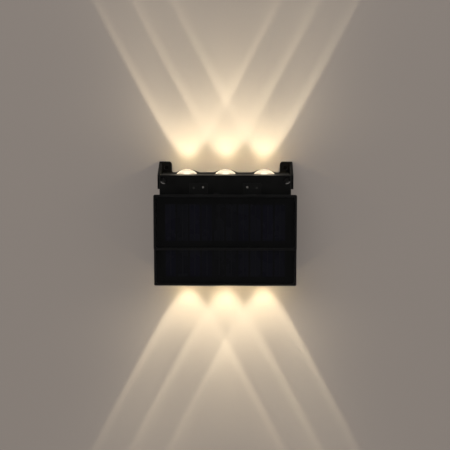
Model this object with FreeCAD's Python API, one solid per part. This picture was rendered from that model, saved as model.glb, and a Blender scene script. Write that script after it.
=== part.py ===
"""Solar wall light that shines up and down, with a fixed solar panel and a second one that folds up.

The origin lies on the wall, midway between the two ear holes that the light hangs from. +Z is up, the
light stands out from the wall along -Y, and X runs along the wall. A "depth" is a distance from the wall,
so it is -Y. Lengths are in millimetres.
"""
import FreeCAD, Part

import math
import os

# Housing: a rear tub that hangs on the wall and a shallow front cover.
body_width = 132.0
body_height = 107.3
body_depth = 38.4
cover_depth = 4.0
side_wall = 2.4
back_wall = 2.4
cover_wall = 2.4
body_corner_radius = 2.0
cover_edge_chamfer = 0.4
seam_groove_width = 1.0
seam_groove_depth = 1.6
tongue_width = 0.8
tongue_length = 0.8

# Ears that the light hangs from, each with a rib that runs down to a lug on the tub's side.
ear_hole_spacing = 122.8
ear_hole_diameter = 4.5
ear_hole_to_body = 4.9
ear_rise = 6.5
ear_thickness = 3.0
ear_width = 13.1
ear_inner_radius = 3.2
ear_outer_radius = 0.9
ear_root_radius = 2.2
lug_thickness = 2.8
lug_depth = 27.0
lug_length = 15.4
lug_top_drop = 1.1
lug_rib_start = 1.5
lug_edge_radius = 1.0

# Scalloped rim at the wall behind the lenses.
rim_thickness = 3.0
rim_lip = 0.1
scallop_height = 2.5
scallop_top_half = 6.5
scallop_base_half = 12.2
scallop_top_radius = 7.0
scallop_base_radius = 5.0

# Lenses: one clear plate under the top wall, whose three domes stand out of round holes, and its
# twin at the bottom wall.
lens_count = 3
lens_pitch = 39.4
lens_plate_width = 111.2
lens_plate_rear = 4.5
lens_plate_past_groove = 0.7
dome_diameter = 20.8
dome_height = 4.5
lens_fit = 0.15
lens_plate_thickness = 1.4
lens_seal_thickness = 0.6
lens_hollow_diameter = 11.0
lens_hollow_rise = 1.4

# Light boards below the domes.
led_board_width = 100.0
led_board_margin = 4.5
led_board_thickness = 1.6
led_chip_size = 3.5
led_chip_thickness = 0.9
led_to_lens = 1.0
led_shelf_width = 6.4
led_shelf_height = 6.0
led_shelf_past_screw = 5.0
led_shelf_share = 0.5
led_screw_pilot_depth = 5.0

# Screws in the corners of the front cover.
case_screw_x = 61.5
case_screw_from_edge = 5.3
case_screw_diameter = 2.9
case_screw_head = 5.6
case_screw_head_height = 1.9
case_screw_length = 16.0
case_screw_recess = 6.6
case_screw_recess_depth = 2.8
case_boss_diameter = 7.0
thread_fit = 0.02

# Small screws: one size for the boards, the battery clamp, the hinges and the lower panel.
small_screw_diameter = 2.2
small_screw_head = 4.2
small_screw_head_height = 1.4
small_screw_length = 5.0
small_boss_diameter = 5.6
screw_slot_width = 0.8
screw_slot_depth = 0.7
screw_slot_span_share = 0.72

# Solar panels: two alike, the lower one fixed, the upper one a flap in front of it.
panel_width = 143.5
panel_height = 55.5
panel_thickness = 3.6
panel_corner_radius = 1.6
panel_bezel = 2.0
panel_bezel_radius = 2.4
panel_bezel_rise = 0.8
panel_floor = 1.0
panel_edge_fillet = 0.4
panel_overhang_bottom = 4.6
flap_gap = 0.3
flap_top_above_axis = 1.6

# Layers inside each panel.
laminate_thickness = 0.7
laminate_fit = 0.1
cell_count = 10
cell_gap = 2.0
cell_thickness = 0.25
cell_side_margin = 9.75
cell_top_margin = 9.8
cell_bottom_margin = 9.2
busbar_width = 0.9
busbar_thickness = 0.1
busbar_overrun = 1.2

# Hinges: a bracket in a pocket of the front cover, a pin, and two knuckles on the flap.
hinge_x = 26.9
hinge_axis_below_top = 21.3
hinge_axis_to_face = 2.0
hinge_barrel_diameter = 3.2
hinge_pin_diameter = 1.5
hinge_pin_fit = 0.05
hinge_pin_seat_fit = 0.01
hinge_middle_knuckle = 8.0
hinge_side_knuckle = 4.0
hinge_knuckle_gap = 0.25
bracket_width = 18.0
bracket_thickness = 1.6
bracket_above_screw = 4.0
bracket_corner_radius = 1.0
bracket_fit = 0.05
hinge_screw_x = 22.2
hinge_screw_below_top = 12.4
hinge_screw_head = 3.4
hinge_screw_head_height = 0.9
hinge_screw_length = 6.0
locating_pin_x = 31.6
locating_pin_below_top = 13.1
locating_pin_diameter = 2.2
locating_pin_length = 5.0
locating_pin_sunk = 0.3

# Screws that hold the lower panel, driven from inside the front cover.
panel_screw_x = 50.0
panel_screw_from_edge = 12.0
panel_stud_diameter = 6.0
panel_stud_fit = 0.2
panel_stud_length = 2.3

# Battery: one round cell that lies in two saddles under a clamp.
cell_diameter = 18.4
cell_length = 65.2
cell_nub_diameter = 7.0
cell_nub_height = 0.8
cell_below_top = 79.1
cell_gap_to_back = 1.6
cell_fit = 0.1
saddle_x = 24.0
saddle_thickness = 3.0
saddle_half_height = 10.5
clamp_width = 10.0
clamp_thickness = 1.5
clamp_boss_offset = 13.6
clamp_foot_end = 17.0
clamp_screw_length = 8.0
tab_width = 6.0
tab_height = 9.0
tab_thickness = 0.3

# Control board and what is soldered to it.
board_width = 106.0
board_height = 32.0
board_thickness = 1.6
board_below_top = 29.1
board_from_back = 9.6
board_screw_inset = 3.6
board_lower_screw_x = 12.0
chip_width = 10.0
chip_height = 5.0
chip_thickness = 1.6
inductor_diameter = 8.0
inductor_height = 5.0
inductor_x = 22.0
capacitor_diameter = 6.3
capacitor_height = 9.0
capacitor_x = -20.0
capacitor_pitch = 9.0
connector_width = 6.0
connector_height = 5.8
connector_length = 7.0
connector_wall = 0.8
connector_mouth_depth = 3.0

# Push button in the back wall, which switches the light on or off before it is hung.
button_diameter = 12.0
button_fit = 0.05
button_dish_diameter = 20.0
button_dish_depth = 0.8
button_flange_diameter = 15.0
button_flange_thickness = 0.9
button_seal_thickness = 0.5
button_seal_gap = 0.02
button_travel = 1.5
button_edge_fillet = 0.4
button_guide_gap = 0.2
button_guide_wall = 1.4
button_guide_to_board = 0.3
plunger_diameter = 3.0
plunger_fit = 0.1
switch_size = 8.0
switch_depth = 4.6

# Leads. Each is one round two-core lead or one single core.
lead_diameter = 2.0
core_diameter = 1.4
lead_bend = 4.0
flap_lead_bend = 3.0
lead_meeting_x = -1.0
flap_lead_x = 5.0
tail_entry_x = -9.0
top_lead_x = -30.0
bottom_lead_inset = 1.5
lower_lead_x = 20.0
lower_lead_below_board = 6.0
lead_seal_diameter = 7.0
junction_width = 16.0
junction_height = 10.0
junction_thickness = 3.0
junction_below_axis = 9.0
junction_fillet = 0.8

# One overrun for every cut that has to pass right through.
overrun = 1.0

# Places worked out from the sizes above.
body_half = body_width / 2
body_top = -ear_hole_to_body
body_bottom = body_top - body_height
body_middle = (body_top + body_bottom) / 2
tub_depth = body_depth - cover_depth
cover_inside = body_depth - cover_wall
inner_top = body_top - side_wall
inner_half = body_half - side_wall
lens_plate_front = tub_depth - seam_groove_depth + lens_plate_past_groove
lens_depth_at = (lens_plate_front + lens_plate_rear) / 2
lens_plate_face = inner_top - lens_seal_thickness
lens_plate_back = lens_plate_face - lens_plate_thickness
led_board_top = lens_plate_back - led_to_lens - led_chip_thickness
led_board_bottom = led_board_top - led_board_thickness
led_board_depth = lens_plate_front - lens_plate_rear - 2 * led_board_margin
led_shelf_x = lens_pitch * led_shelf_share
led_shelf_length = lens_depth_at + led_shelf_past_screw
case_screw_z = body_top - case_screw_from_edge
hinge_axis_z = body_top - hinge_axis_below_top
hinge_axis_depth = body_depth + hinge_axis_to_face
cell_width = (panel_width - 2 * panel_bezel - 2 * cell_side_margin + cell_gap) / cell_count - cell_gap
cell_pitch = cell_width + cell_gap
cell_height = panel_height - cell_top_margin - cell_bottom_margin
lower_panel_rear = body_depth
lower_panel_bottom = body_bottom - panel_overhang_bottom
lower_panel_top = lower_panel_bottom + panel_height
flap_rear = lower_panel_rear + panel_thickness + flap_gap
flap_top = hinge_axis_z + flap_top_above_axis
hinge_screw_z = body_top - hinge_screw_below_top
locating_pin_z = body_top - locating_pin_below_top
bracket_top = hinge_screw_z + bracket_above_screw
bracket_bottom = hinge_axis_z - hinge_barrel_diameter / 2
board_rear = back_wall + board_from_back
board_front = board_rear + board_thickness
board_top = body_top - board_below_top
board_bottom = board_top - board_height
board_middle = (board_top + board_bottom) / 2
lead_depth = board_front + connector_height / 2
bottom_lead_x = -led_board_width / 2 + bottom_lead_inset
battery_depth = back_wall + cell_gap_to_back + cell_diameter / 2
battery_z = body_top - cell_below_top
junction_top = hinge_axis_z - junction_below_axis
button_z = board_middle


def place(x, depth, z):
    """The point at x and z, the given depth in front of the wall."""
    return FreeCAD.Vector(x, -depth, z)


ALONG_WALL = FreeCAD.Vector(1, 0, 0)
FROM_WALL = FreeCAD.Vector(0, -1, 0)
UP = FreeCAD.Vector(0, 0, 1)


def block(x_low, x_high, depth_low, depth_high, z_low, z_high):
    """A box between two places along each direction."""
    corner = place(x_low, depth_high, z_low)
    return Part.makeBox(x_high - x_low, depth_high - depth_low, z_high - z_low, corner)


def rod_out(x, z, depth_low, depth_high, diameter):
    """A round rod that points out from the wall."""
    return Part.makeCylinder(diameter / 2, depth_high - depth_low, place(x, depth_low, z), FROM_WALL)


def rod_along(depth, z, x_low, x_high, diameter):
    """A round rod that lies along the wall."""
    return Part.makeCylinder(diameter / 2, x_high - x_low, place(x_low, depth, z), ALONG_WALL)


def rod_up(x, depth, z_low, z_high, diameter):
    """A round rod that stands upright."""
    return Part.makeCylinder(diameter / 2, z_high - z_low, place(x, depth, z_low), UP)


def join(shapes):
    """One solid made of all the given ones."""
    first, *rest = shapes
    return first.fuse(rest).removeSplitter() if rest else first


def cut(shape, tools):
    """The shape less all the given ones."""
    return shape.cut(tools)


def mirror_side(shape):
    """The same shape on the other side of the light."""
    return shape.mirror(FreeCAD.Vector(0, 0, 0), ALONG_WALL)


def mirror_end(shape):
    """The same shape at the other end of the body, so top becomes bottom."""
    return shape.mirror(place(0, 0, body_middle), UP)


def both_sides(shape):
    """A list of the shape and its twin on the other side."""
    return [shape, mirror_side(shape)]


def both_ends(shapes):
    """A list of the shapes and their twins at the other end."""
    return shapes + [mirror_end(shape) for shape in shapes]


def corner_arc(before, corner, after, radius):
    """Start, middle and end of the arc of that radius that rounds a corner between two straight runs."""
    to_before = (before - corner).normalize()
    to_after = (after - corner).normalize()
    half_angle = to_before.getAngle(to_after) / 2
    reach = radius / math.tan(half_angle)
    bisector = (to_before + to_after).normalize()
    centre = corner + bisector * (radius / math.sin(half_angle))
    return corner + to_before * reach, centre - bisector * radius, corner + to_after * reach


def rounded_outline(corners):
    """A closed wire through (point, radius) corners, each rounded by an arc where its radius isn't zero."""
    edges = []
    ends = []
    for index, (corner, radius) in enumerate(corners):
        before = corners[index - 1][0]
        after = corners[(index + 1) % len(corners)][0]
        if radius:
            start, middle, end = corner_arc(before, corner, after, radius)
            edges.append(Part.Arc(start, middle, end).toShape())
            ends.append((start, end))
        else:
            ends.append((corner, corner))
    for index, (_, end) in enumerate(ends):
        start = ends[(index + 1) % len(ends)][0]
        edges.append(Part.makeLine(end, start))
    return Part.Wire(Part.__sortEdges__(edges))


def front_plate(corners, depth_low, depth_high):
    """A plate whose outline is seen from the front, given as (x, z, radius) corners."""
    outline = rounded_outline([(place(x, depth_low, z), radius) for x, z, radius in corners])
    return Part.Face(outline).extrude(FROM_WALL * (depth_high - depth_low))


def side_plate(corners, x_low, x_high):
    """A plate whose outline is seen from the side, given as (depth, z, radius) corners."""
    outline = rounded_outline([(place(x_low, depth, z), radius) for depth, z, radius in corners])
    return Part.Face(outline).extrude(ALONG_WALL * (x_high - x_low))


def rounded_block(half_width, z_low, z_high, depth_low, depth_high, radius):
    """A box with round corners in front view, centred on the light's middle."""
    corners = [(-half_width, z_low, radius), (half_width, z_low, radius),
               (half_width, z_high, radius), (-half_width, z_high, radius)]
    return front_plate(corners, depth_low, depth_high)


def edges_at_depth(shape, depth):
    """The edges of a shape that lie wholly at one depth."""
    return [edge for edge in shape.Edges
            if abs(edge.BoundBox.YMin + depth) < thread_fit and abs(edge.BoundBox.YMax + depth) < thread_fit]


def cross_slot(x, z, depth, head_diameter):
    """The cross-shaped slot that a driver fits, cut into a screw head whose face is at that depth."""
    half_span = head_diameter * screw_slot_span_share / 2
    half_width = screw_slot_width / 2
    low = depth - screw_slot_depth
    high = depth + overrun
    level = block(x - half_span, x + half_span, low, high, z - half_width, z + half_width)
    upright = block(x - half_width, x + half_width, low, high, z - half_span, z + half_span)
    return join([level, upright])


def screw_in(x, z, seat_depth, length, diameter, head_diameter, head_height):
    """A screw driven towards the wall, with its head's underside at the seat depth."""
    shank = rod_out(x, z, seat_depth - length, seat_depth, diameter)
    head = rod_out(x, z, seat_depth, seat_depth + head_height, head_diameter)
    face = seat_depth + head_height
    head = head.makeFillet(head_height / 2, edges_at_depth(head, face))
    return cut(join([shank, head]), [cross_slot(x, z, face, head_diameter)])


def small_screw(x, z, seat_depth, length):
    """One of the small screws, driven towards the wall."""
    return screw_in(x, z, seat_depth, length, small_screw_diameter, small_screw_head,
                    small_screw_head_height)


def pilot(x, z, mouth_depth, length, diameter):
    """The hole in a boss that a screw of that diameter bites into."""
    return rod_out(x, z, mouth_depth - length - overrun, mouth_depth + overrun, diameter + 2 * thread_fit)


def lens_places():
    """The x of each lens."""
    first = -(lens_count - 1) / 2
    return [(first + index) * lens_pitch for index in range(lens_count)]


# Rear shell

def ear():
    """The right ear, a flat plate at the wall that runs down behind the tub."""
    outer = body_half + lug_thickness
    inner = outer - ear_width
    foot = body_top - ear_root_radius
    spread = inner - ear_root_radius
    corners = [(inner, ear_rise, ear_inner_radius), (outer, ear_rise, ear_outer_radius), (outer, foot, 0),
               (spread - ear_root_radius, foot, 0), (spread - ear_root_radius, body_top, 0),
               (inner, body_top, ear_root_radius)]
    return front_plate(corners, 0, ear_thickness)


def lug():
    """The right side lug, whose rib slopes back up the ear's outer edge."""
    top = body_top - lug_top_drop
    bottom = body_top - lug_length
    rib_top = ear_rise - lug_rib_start
    corners = [(0, rib_top, 0), (ear_thickness, rib_top, 0), (lug_depth, top, lug_edge_radius),
               (lug_depth, bottom, lug_edge_radius), (0, bottom, 0)]
    return side_plate(corners, body_half, body_half + lug_thickness)


def scallop(x):
    """The bell-shaped rise of the rear rim behind one top lens."""
    lip = body_top + rim_lip
    foot = body_top - side_wall
    corners = [(x - scallop_base_half - scallop_base_radius, foot, 0),
               (x - scallop_base_half - scallop_base_radius, lip, 0),
               (x - scallop_base_half, lip, scallop_base_radius),
               (x - scallop_top_half, body_top + scallop_height, scallop_top_radius),
               (x + scallop_top_half, body_top + scallop_height, scallop_top_radius),
               (x + scallop_base_half, lip, scallop_base_radius),
               (x + scallop_base_half + scallop_base_radius, lip, 0),
               (x + scallop_base_half + scallop_base_radius, foot, 0)]
    return front_plate(corners, 0, rim_thickness)


def rear_rim():
    """The scalloped rim along the top of the back wall."""
    half = body_half + lug_thickness - ear_width
    lip = block(-half, half, 0, rim_thickness, body_top - side_wall, body_top + rim_lip)
    return join([lip] + [scallop(x) for x in lens_places()])


def lens_holes(low, high):
    """The round holes that the domes stand out of, between two heights."""
    return [rod_up(x, lens_depth_at, low - overrun, high + overrun, dome_diameter + 2 * lens_fit)
            for x in lens_places()]


def seam_ring(outer_inset, inner_inset, depth_low, depth_high):
    """A ring that runs round the housing's side walls, between two distances in from the outside."""
    radius_out = body_corner_radius - outer_inset
    radius_in = body_corner_radius - inner_inset
    ring = rounded_block(body_half - outer_inset, body_bottom + outer_inset, body_top - outer_inset,
                         depth_low, depth_high, radius_out)
    core = rounded_block(body_half - inner_inset, body_bottom + inner_inset, body_top - inner_inset,
                         depth_low - overrun, depth_high + overrun, radius_in)
    return cut(ring, [core])


def seam_insets(width):
    """How far in from the outside a ring of that width lies, centred on the side wall."""
    return (side_wall - width) / 2, (side_wall + width) / 2


def case_bosses():
    """The four corner posts that the case screws bite into."""
    post = rod_out(case_screw_x, case_screw_z, back_wall / 2, tub_depth, case_boss_diameter)
    post = post.common(rounded_block(body_half - side_wall / 2, body_bottom, body_top - side_wall / 2,
                                     0, tub_depth, 0))
    return both_ends(both_sides(post))


def case_pilots():
    """The holes in the corner posts."""
    seat = body_depth - case_screw_recess_depth
    reach = case_screw_length - (seat - tub_depth)
    hole = pilot(case_screw_x, case_screw_z, tub_depth, reach, case_screw_diameter)
    return both_ends(both_sides(hole))


def led_shelves():
    """The arms on the back wall that the top light board rests on."""
    arm = block(led_shelf_x - led_shelf_width / 2, led_shelf_x + led_shelf_width / 2, back_wall / 2,
                led_shelf_length, led_board_bottom - led_shelf_height, led_board_bottom)
    return both_sides(arm)


def led_shelf_pilots():
    """The upright screw holes in the arms."""
    hole = rod_up(led_shelf_x, lens_depth_at, led_board_bottom - led_screw_pilot_depth,
                  led_board_bottom + overrun, small_screw_diameter + 2 * thread_fit)
    return both_sides(hole)


def board_screw_places():
    """Where the control board's four screws stand, as (x, z)."""
    upper = (board_width / 2 - board_screw_inset, board_top - board_screw_inset)
    lower = (board_lower_screw_x, board_bottom + board_screw_inset)
    return [(side * x, z) for side in (-1, 1) for x, z in (upper, lower)]


def clamp_screw_places():
    """Where the battery clamp's two screws stand, as (x, z)."""
    return [(0, battery_z + clamp_boss_offset), (0, battery_z - clamp_boss_offset)]


def inner_bosses():
    """The posts on the back wall for the control board and the battery clamp."""
    board = [rod_out(x, z, back_wall / 2, board_rear, small_boss_diameter) for x, z in board_screw_places()]
    clamp = [rod_out(x, z, back_wall / 2, battery_depth, small_boss_diameter)
             for x, z in clamp_screw_places()]
    return board + clamp


def inner_pilots():
    """The screw holes in those posts."""
    board_reach = small_screw_length - board_thickness
    clamp_reach = clamp_screw_length - clamp_thickness
    board = [pilot(x, z, board_rear, board_reach, small_screw_diameter) for x, z in board_screw_places()]
    clamp = [pilot(x, z, battery_depth, clamp_reach, small_screw_diameter) for x, z in clamp_screw_places()]
    return board + clamp


def saddles():
    """The two ribs that the battery lies in."""
    seat = rod_along(battery_depth, battery_z, -body_half, body_half, cell_diameter + 2 * cell_fit)
    half = saddle_thickness / 2
    rib = block(saddle_x - half, saddle_x + half, back_wall / 2, battery_depth,
                battery_z - saddle_half_height, battery_z + saddle_half_height)
    return both_sides(cut(rib, [seat]))


def button_guide():
    """The tube that the button's flange slides in, which the control board closes."""
    outer = button_flange_diameter + 2 * button_guide_gap + 2 * button_guide_wall
    return rod_out(0, button_z, back_wall / 2, board_rear - button_guide_to_board, outer)


def button_bore():
    """The hole, the finger dish and the room inside the guide tube for the push button."""
    hole = rod_out(0, button_z, -overrun, back_wall + overrun, button_diameter + 2 * button_fit)
    dish = rod_out(0, button_z, -overrun, button_dish_depth, button_dish_diameter)
    room = rod_out(0, button_z, back_wall, board_rear, button_flange_diameter + 2 * button_guide_gap)
    return [hole, dish, room]


def ear_hole():
    """The right hole for a wall screw."""
    return rod_out(ear_hole_spacing / 2, 0, -overrun, ear_thickness + overrun, ear_hole_diameter)


def rear_shell():
    """The tub with its ears, lugs, scalloped rims, posts and ribs."""
    tub = rounded_block(body_half, body_bottom, body_top, 0, tub_depth, body_corner_radius)
    hollow = block(-inner_half, inner_half, back_wall, tub_depth + overrun,
                   body_bottom + side_wall, inner_top)
    groove = seam_ring(*seam_insets(seam_groove_width), tub_depth - seam_groove_depth, tub_depth + overrun)
    tub = cut(tub, [hollow] + both_ends(lens_holes(inner_top, body_top)))
    outside = both_sides(ear()) + both_sides(lug()) + both_ends([rear_rim()])
    inside = case_bosses() + both_ends(led_shelves()) + inner_bosses() + saddles() + [button_guide()]
    holes = case_pilots() + both_ends(led_shelf_pilots()) + inner_pilots() + button_bore()
    return cut(join([tub] + outside + inside), [groove] + holes + both_sides(ear_hole()))


# Front cover

def case_recesses():
    """The stepped holes for the case screws."""
    seat = body_depth - case_screw_recess_depth
    wide = rod_out(case_screw_x, case_screw_z, seat, body_depth + overrun, case_screw_recess)
    through = rod_out(case_screw_x, case_screw_z, tub_depth - overrun, body_depth + overrun,
                      case_screw_diameter + 2 * thread_fit)
    return both_ends(both_sides(join([wide, through])))


def cover_posts():
    """The solid corners of the cover that the case screws clamp."""
    post = rod_out(case_screw_x, case_screw_z, tub_depth, cover_inside + cover_wall / 2, case_boss_diameter)
    post = post.common(rounded_block(body_half - side_wall / 2, body_bottom, body_top - side_wall / 2,
                                     0, body_depth, 0))
    return both_ends(both_sides(post))


def bracket_outline(clearance):
    """The outline of the right hinge bracket's plate, as (x, z, radius) corners."""
    half = bracket_width / 2 + clearance
    bottom = bracket_bottom - clearance
    top = bracket_top + clearance
    radius = bracket_corner_radius
    return [(hinge_x - half, bottom, radius), (hinge_x + half, bottom, radius),
            (hinge_x + half, top, radius), (hinge_x - half, top, radius)]


def bracket_pockets():
    """The pockets that the hinge brackets sit flush in."""
    pocket = front_plate(bracket_outline(bracket_fit), body_depth - bracket_thickness, body_depth + overrun)
    return both_sides(pocket)


def bracket_pads():
    """The thickening behind each pocket, with posts for the screw and the pin."""
    pad_front = body_depth - bracket_thickness
    pad = front_plate(bracket_outline(cover_wall / 2), pad_front - cover_wall, cover_inside + cover_wall / 4)
    screw_post = rod_out(hinge_screw_x, hinge_screw_z, body_depth - hinge_screw_length - overrun, pad_front,
                         small_boss_diameter)
    pin_post = rod_out(locating_pin_x, locating_pin_z, body_depth - hinge_screw_length - overrun, pad_front,
                       small_boss_diameter)
    return both_sides(join([pad, screw_post, pin_post]))


def hinge_pilots():
    """The holes for the hinge screws and the locating pins in the cover."""
    seat = body_depth - bracket_thickness
    screw_hole = rod_out(hinge_screw_x, hinge_screw_z, body_depth - hinge_screw_length, seat + overrun,
                         small_screw_diameter + 2 * thread_fit)
    pin_hole = rod_out(locating_pin_x, locating_pin_z, body_depth - locating_pin_sunk - locating_pin_length,
                       seat + overrun, locating_pin_diameter + 2 * thread_fit)
    return both_sides(screw_hole) + both_sides(pin_hole)


def panel_screw_places():
    """Where the lower panel's four screws stand, as (x, z)."""
    levels = (lower_panel_top - panel_screw_from_edge, lower_panel_bottom + panel_screw_from_edge)
    return [(side * panel_screw_x, z) for side in (-1, 1) for z in levels]


def panel_stud_holes():
    """The holes in the cover that the lower panel's studs sit in."""
    size = panel_stud_diameter + 2 * panel_stud_fit
    return [rod_out(x, z, cover_inside - overrun, body_depth + overrun, size)
            for x, z in panel_screw_places()]


def lower_lead_z():
    """The height at which the lower panel's lead enters the cover."""
    return board_bottom - lower_lead_below_board


def lead_seal_holes():
    """The holes in the cover for the two panel leads and their seals."""
    flap_hole = rod_out(tail_entry_x, hinge_axis_z, cover_inside - overrun, body_depth + overrun,
                        lead_seal_diameter)
    lower_hole = rod_out(lower_lead_x, lower_lead_z(), cover_inside - overrun, body_depth + overrun,
                         lead_seal_diameter)
    return [flap_hole, lower_hole]


def front_cover():
    """The shallow cover that closes the tub and carries both panels."""
    cover = rounded_block(body_half, body_bottom, body_top, tub_depth, body_depth, body_corner_radius)
    cover = cover.makeChamfer(cover_edge_chamfer, edges_at_depth(cover, body_depth))
    hollow = block(-inner_half, inner_half, tub_depth - overrun, cover_inside,
                   body_bottom + side_wall, inner_top)
    tongue = seam_ring(*seam_insets(tongue_width), tub_depth - tongue_length, tub_depth + overrun)
    cover = join([cut(cover, [hollow]), tongue] + cover_posts() + bracket_pads())
    holes = case_recesses() + bracket_pockets() + hinge_pilots() + panel_stud_holes() + lead_seal_holes()
    return cut(cover, holes)


def housing_gasket():
    """The rubber ring in the seam groove, under the cover's tongue."""
    return seam_ring(*seam_insets(tongue_width), tub_depth - seam_groove_depth, tub_depth - tongue_length)


# Lenses and light boards

def lens_dome(x):
    """One dome, a slice of a ball that stands on the plate."""
    radius = dome_diameter / 2
    ball = (radius ** 2 + dome_height ** 2) / (2 * dome_height)
    centre = place(x, lens_depth_at, body_top + dome_height - ball)
    cap = block(x - radius - overrun, x + radius + overrun, lens_depth_at - radius - overrun,
                lens_depth_at + radius + overrun, body_top, body_top + dome_height + overrun)
    return Part.makeSphere(ball, centre).common(cap)


def lens_hollow(x):
    """The shallow hollow in the plate's underside above one light chip."""
    radius = lens_hollow_diameter / 2
    ball = (radius ** 2 + lens_hollow_rise ** 2) / (2 * lens_hollow_rise)
    return Part.makeSphere(ball, place(x, lens_depth_at, lens_plate_back + lens_hollow_rise - ball))


def lens_plate():
    """The clear top plate, which is bonded under the wall, with a round step and a dome at each hole."""
    half = lens_plate_width / 2
    plate = block(-half, half, lens_plate_rear, lens_plate_front, lens_plate_back, lens_plate_face)
    steps = [rod_up(x, lens_depth_at, lens_plate_back, body_top, dome_diameter) for x in lens_places()]
    plate = join([plate] + steps + [lens_dome(x) for x in lens_places()])
    return cut(plate, [lens_hollow(x) for x in lens_places()])


def lens_seal():
    """The layer of sealant between the clear plate and the underside of the top wall."""
    half = lens_plate_width / 2
    layer = block(-half, half, lens_plate_rear, lens_plate_front, lens_plate_face, inner_top)
    return cut(layer, lens_holes(lens_plate_face, inner_top))


def led_board():
    """The top light board."""
    half = led_board_width / 2
    board = block(-half, half, lens_depth_at - led_board_depth / 2, lens_depth_at + led_board_depth / 2,
                  led_board_bottom, led_board_top)
    hole = rod_up(led_shelf_x, lens_depth_at, led_board_bottom - overrun, led_board_top + overrun,
                  small_screw_diameter + 2 * thread_fit)
    return cut(board, both_sides(hole))


def led_chips():
    """The light chips of the top board, one below each dome."""
    half = led_chip_size / 2
    return [block(x - half, x + half, lens_depth_at - half, lens_depth_at + half, led_board_top,
                  led_board_top + led_chip_thickness) for x in lens_places()]


def led_board_screw():
    """The upright screw that holds the right end of the top board."""
    shank = rod_up(led_shelf_x, lens_depth_at, led_board_top - small_screw_length, led_board_top,
                   small_screw_diameter)
    head = rod_up(led_shelf_x, lens_depth_at, led_board_top, led_board_top + led_chip_thickness,
                  small_screw_head)
    half_span = small_screw_head * screw_slot_span_share / 2
    half_width = screw_slot_width / 2
    face = led_board_top + led_chip_thickness
    level = block(led_shelf_x - half_span, led_shelf_x + half_span, lens_depth_at - half_width,
                  lens_depth_at + half_width, face - screw_slot_depth, face + overrun)
    across = block(led_shelf_x - half_width, led_shelf_x + half_width, lens_depth_at - half_span,
                   lens_depth_at + half_span, face - screw_slot_depth, face + overrun)
    return cut(join([shank, head]), [level, across])


# Fasteners of the housing

def case_screws():
    """The four screws that hold the cover on the tub."""
    seat = body_depth - case_screw_recess_depth
    screw = screw_in(case_screw_x, case_screw_z, seat, case_screw_length, case_screw_diameter,
                     case_screw_head, case_screw_head_height)
    return both_ends(both_sides(screw))


def hinge_screw():
    """The bright screw of the right hinge bracket."""
    seat = body_depth - hinge_screw_head_height / 2
    return screw_in(hinge_screw_x, hinge_screw_z, seat, hinge_screw_length - hinge_screw_head_height / 2,
                    small_screw_diameter, hinge_screw_head, hinge_screw_head_height)


def locating_pin():
    """The dark pin that keeps the right hinge bracket from turning."""
    face = body_depth - locating_pin_sunk
    return rod_out(locating_pin_x, locating_pin_z, face - locating_pin_length, face, locating_pin_diameter)


# Hinges

def bracket_knuckle_span():
    """The x range of the middle knuckle of the right hinge."""
    return hinge_x - hinge_middle_knuckle / 2, hinge_x + hinge_middle_knuckle / 2


def flap_knuckle_spans():
    """The x ranges of the two flap knuckles of the right hinge."""
    low, high = bracket_knuckle_span()
    return [(low - hinge_knuckle_gap - hinge_side_knuckle, low - hinge_knuckle_gap),
            (high + hinge_knuckle_gap, high + hinge_knuckle_gap + hinge_side_knuckle)]


def hinge_bracket():
    """The right bracket, a plate flush in the cover with one knuckle on its lower edge."""
    rear = body_depth - bracket_thickness
    plate = front_plate(bracket_outline(0), rear, body_depth)
    low, high = bracket_knuckle_span()
    half = hinge_barrel_diameter / 2
    barrel = rod_along(hinge_axis_depth, hinge_axis_z, low, high, hinge_barrel_diameter)
    web = block(low, high, rear, hinge_axis_depth, hinge_axis_z - half, hinge_axis_z + half)
    bore = rod_along(hinge_axis_depth, hinge_axis_z, low - overrun, high + overrun,
                     hinge_pin_diameter + 2 * hinge_pin_seat_fit)
    recess = rod_out(hinge_screw_x, hinge_screw_z, body_depth - hinge_screw_head_height / 2,
                     body_depth + overrun, hinge_screw_head + 2 * thread_fit)
    screw_hole = rod_out(hinge_screw_x, hinge_screw_z, rear - overrun, body_depth + overrun,
                         small_screw_diameter + 2 * thread_fit)
    pin_hole = rod_out(locating_pin_x, locating_pin_z, rear - overrun, body_depth + overrun,
                       locating_pin_diameter + 2 * thread_fit)
    return cut(join([plate, barrel, web]), [bore, recess, screw_hole, pin_hole])


def hinge_pin():
    """The right hinge pin, fast in the bracket and running in the flap's knuckles."""
    (low, _), (_, high) = flap_knuckle_spans()
    return rod_along(hinge_axis_depth, hinge_axis_z, low, high, hinge_pin_diameter)


# Panels

def panel_tray(rear, top):
    """A shallow tray with a raised bezel, whose back lies at one depth."""
    bottom = top - panel_height
    front = rear + panel_thickness
    half = panel_width / 2
    tray = rounded_block(half, bottom, top, rear, front, panel_corner_radius)
    tray = tray.makeFillet(panel_edge_fillet, edges_at_depth(tray, front))
    hollow = rounded_block(half - panel_bezel, bottom + panel_bezel, top - panel_bezel, rear + panel_floor,
                           front + overrun, panel_bezel_radius)
    return cut(tray, [hollow])


def panel_laminate(rear, top):
    """The board at the back of a panel that the cells are bonded to."""
    inset = panel_bezel + laminate_fit
    low = rear + panel_floor
    return rounded_block(panel_width / 2 - inset, top - panel_height + inset, top - inset, low,
                         low + laminate_thickness, panel_bezel_radius - laminate_fit)


def panel_cells(rear, top):
    """The upright strips of silicon."""
    low = rear + panel_floor + laminate_thickness
    cell_top = top - cell_top_margin
    first = -(cell_count - 1) / 2 * cell_pitch
    strips = []
    for index in range(cell_count):
        x = first + index * cell_pitch
        strips.append(block(x - cell_width / 2, x + cell_width / 2, low, low + cell_thickness,
                            cell_top - cell_height, cell_top))
    return strips


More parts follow.
